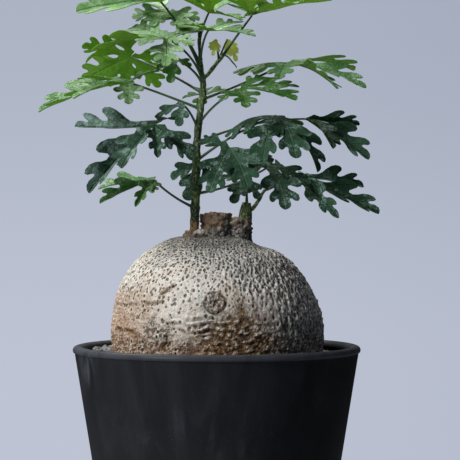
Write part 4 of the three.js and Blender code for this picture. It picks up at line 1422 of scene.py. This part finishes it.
# Each lamp: its place, size, power and colour. All point at the plant
LAMPS = {
    "key": ((-1.05, -0.95, 1.0), 0.55, 26, "fdfbf8"),
    "top": ((-0.3, 0.4, 1.2), 0.9, 22, "fffdf4"),
    "fill": ((0.5, -1.2, 0.7), 0.9, 1.6, "e8eeff"),
}
LAMP_AIM = Vector((0, 0, 0.22))
FLOOR_RADIUS, BACKDROP_RADIUS = 0.56, 6


class ADENIA_OT_stage(bpy.types.Operator):
    """Set the floor, the backdrop, the soft studio light and the camera"""

    bl_idname = "adenia.stage"
    bl_label = "Stage"

    def execute(self, context):
        scene = context.scene
        self.floor()
        self.backdrop()
        world = bpy.data.worlds.new("studio")
        world.use_nodes = True
        sky = world.node_tree.nodes["Background"]
        sky.inputs["Color"].default_value = rgba("c4cede")
        sky.inputs["Strength"].default_value = 0.08
        scene.world = world
        for name, (place, size, power, code) in LAMPS.items():
            light = bpy.data.lights.new(name, "AREA")
            light.shape, light.size, light.energy = "DISK", size, power
            light.color = tone(code)
            lamp = bpy.data.objects.new(name, light)
            lamp.location = place
            lamp.rotation_euler = (LAMP_AIM - Vector(place)).to_track_quat("-Z", "Y").to_euler()
            scene.collection.objects.link(lamp)
        camera = bpy.data.cameras.new("camera")
        camera.lens = SENSOR_WIDTH * FOCAL_PIXELS / PICTURE_PIXELS
        camera.clip_start = 0.01
        view = bpy.data.objects.new("camera", camera)
        view.location = CAMERA_PLACE
        view.rotation_euler = (math.radians(90), 0, 0)
        scene.collection.objects.link(view)
        scene.camera = view
        scene.view_settings.view_transform = "Standard"
        return {"FINISHED"}

    def floor(self):
        """A pale disc just under the pot that clears away towards its edge."""
        bm = bmesh.new()
        bmesh.ops.create_circle(bm, cap_ends=True, segments=96, radius=FLOOR_RADIUS)
        bmesh.ops.translate(bm, vec=(0, 0, -0.0005), verts=bm.verts)
        shader = Shader("pale_floor")
        far = shader.node(
            "ShaderNodeVectorMath", {"operation": "LENGTH"}, {0: shader.place}, "Value")
        speck = shader.noise(60, 2, 0.5)
        paint = shader.surface(shader.mixed(speck * 0.1, "c3c8d2", "b7bcc6"), 0.8)
        clear = shader.node("ShaderNodeBsdfTransparent")
        material = shader.done(shader.blended(far.between(0.3, 0.55), paint, clear))
        linked("floor", bm, [material])

    def backdrop(self):
        """A large dome that only the camera sees."""
        bm = bmesh.new()
        bmesh.ops.create_uvsphere(bm, u_segments=64, v_segments=32, radius=BACKDROP_RADIUS)
        bmesh.ops.reverse_faces(bm, faces=bm.faces)
        shader = Shader("grey_backdrop")
        across, height = shader.part("X"), shader.part("Z")
        shade = height.between(-0.4, 1.2) * 0.6 + across.between(-0.6, 1.6) * 0.3
        glow = shader.mixed(shade, "bdc3d2", "a0a8ba")
        light = shader.node("ShaderNodeEmission", {}, {"Color": glow, "Strength": 1.0})
        dome = linked("backdrop", bm, [shader.done(light)])
        dome.visible_diffuse = dome.visible_shadow = dome.visible_transmission = False
        dome.visible_glossy = dome.visible_volume_scatter = False


class ADENIA_PT_panel(bpy.types.Panel):
    """Pieces and sizes of the potted adenia"""

    bl_idname = "ADENIA_PT_panel"
    bl_label = "Potted Adenia"
    bl_space_type = "VIEW_3D"
    bl_region_type = "UI"
    bl_category = "Adenia"

    def draw(self, context):
        layout = self.layout
        for operator in OPERATORS:
            layout.operator(operator.bl_idname)
        settings = context.scene.adenia
        for name, group in GROUPS.items():
            box = layout.box()
            for key in group.__annotations__:
                box.prop(getattr(settings, name), key)


OPERATORS = [
    ADENIA_OT_pot, ADENIA_OT_grit, ADENIA_OT_caudex, ADENIA_OT_stems, ADENIA_OT_leaves,
    ADENIA_OT_stage]
CLASSES = [*GROUPS.values(), AdeniaSettings, *OPERATORS, ADENIA_PT_panel]


def register():
    for cls in CLASSES:
        bpy.utils.register_class(cls)
    bpy.types.Scene.adenia = bpy.props.PointerProperty(type=AdeniaSettings)


def unregister():
    del bpy.types.Scene.adenia
    for cls in reversed(CLASSES):
        bpy.utils.unregister_class(cls)


def main():
    register()
    bpy.ops.adenia.pot()
    bpy.ops.adenia.grit()
    bpy.ops.adenia.caudex()
    bpy.ops.adenia.stems()
    bpy.ops.adenia.leaves()
    bpy.ops.adenia.stage()


if __name__ == "__main__":
    main()
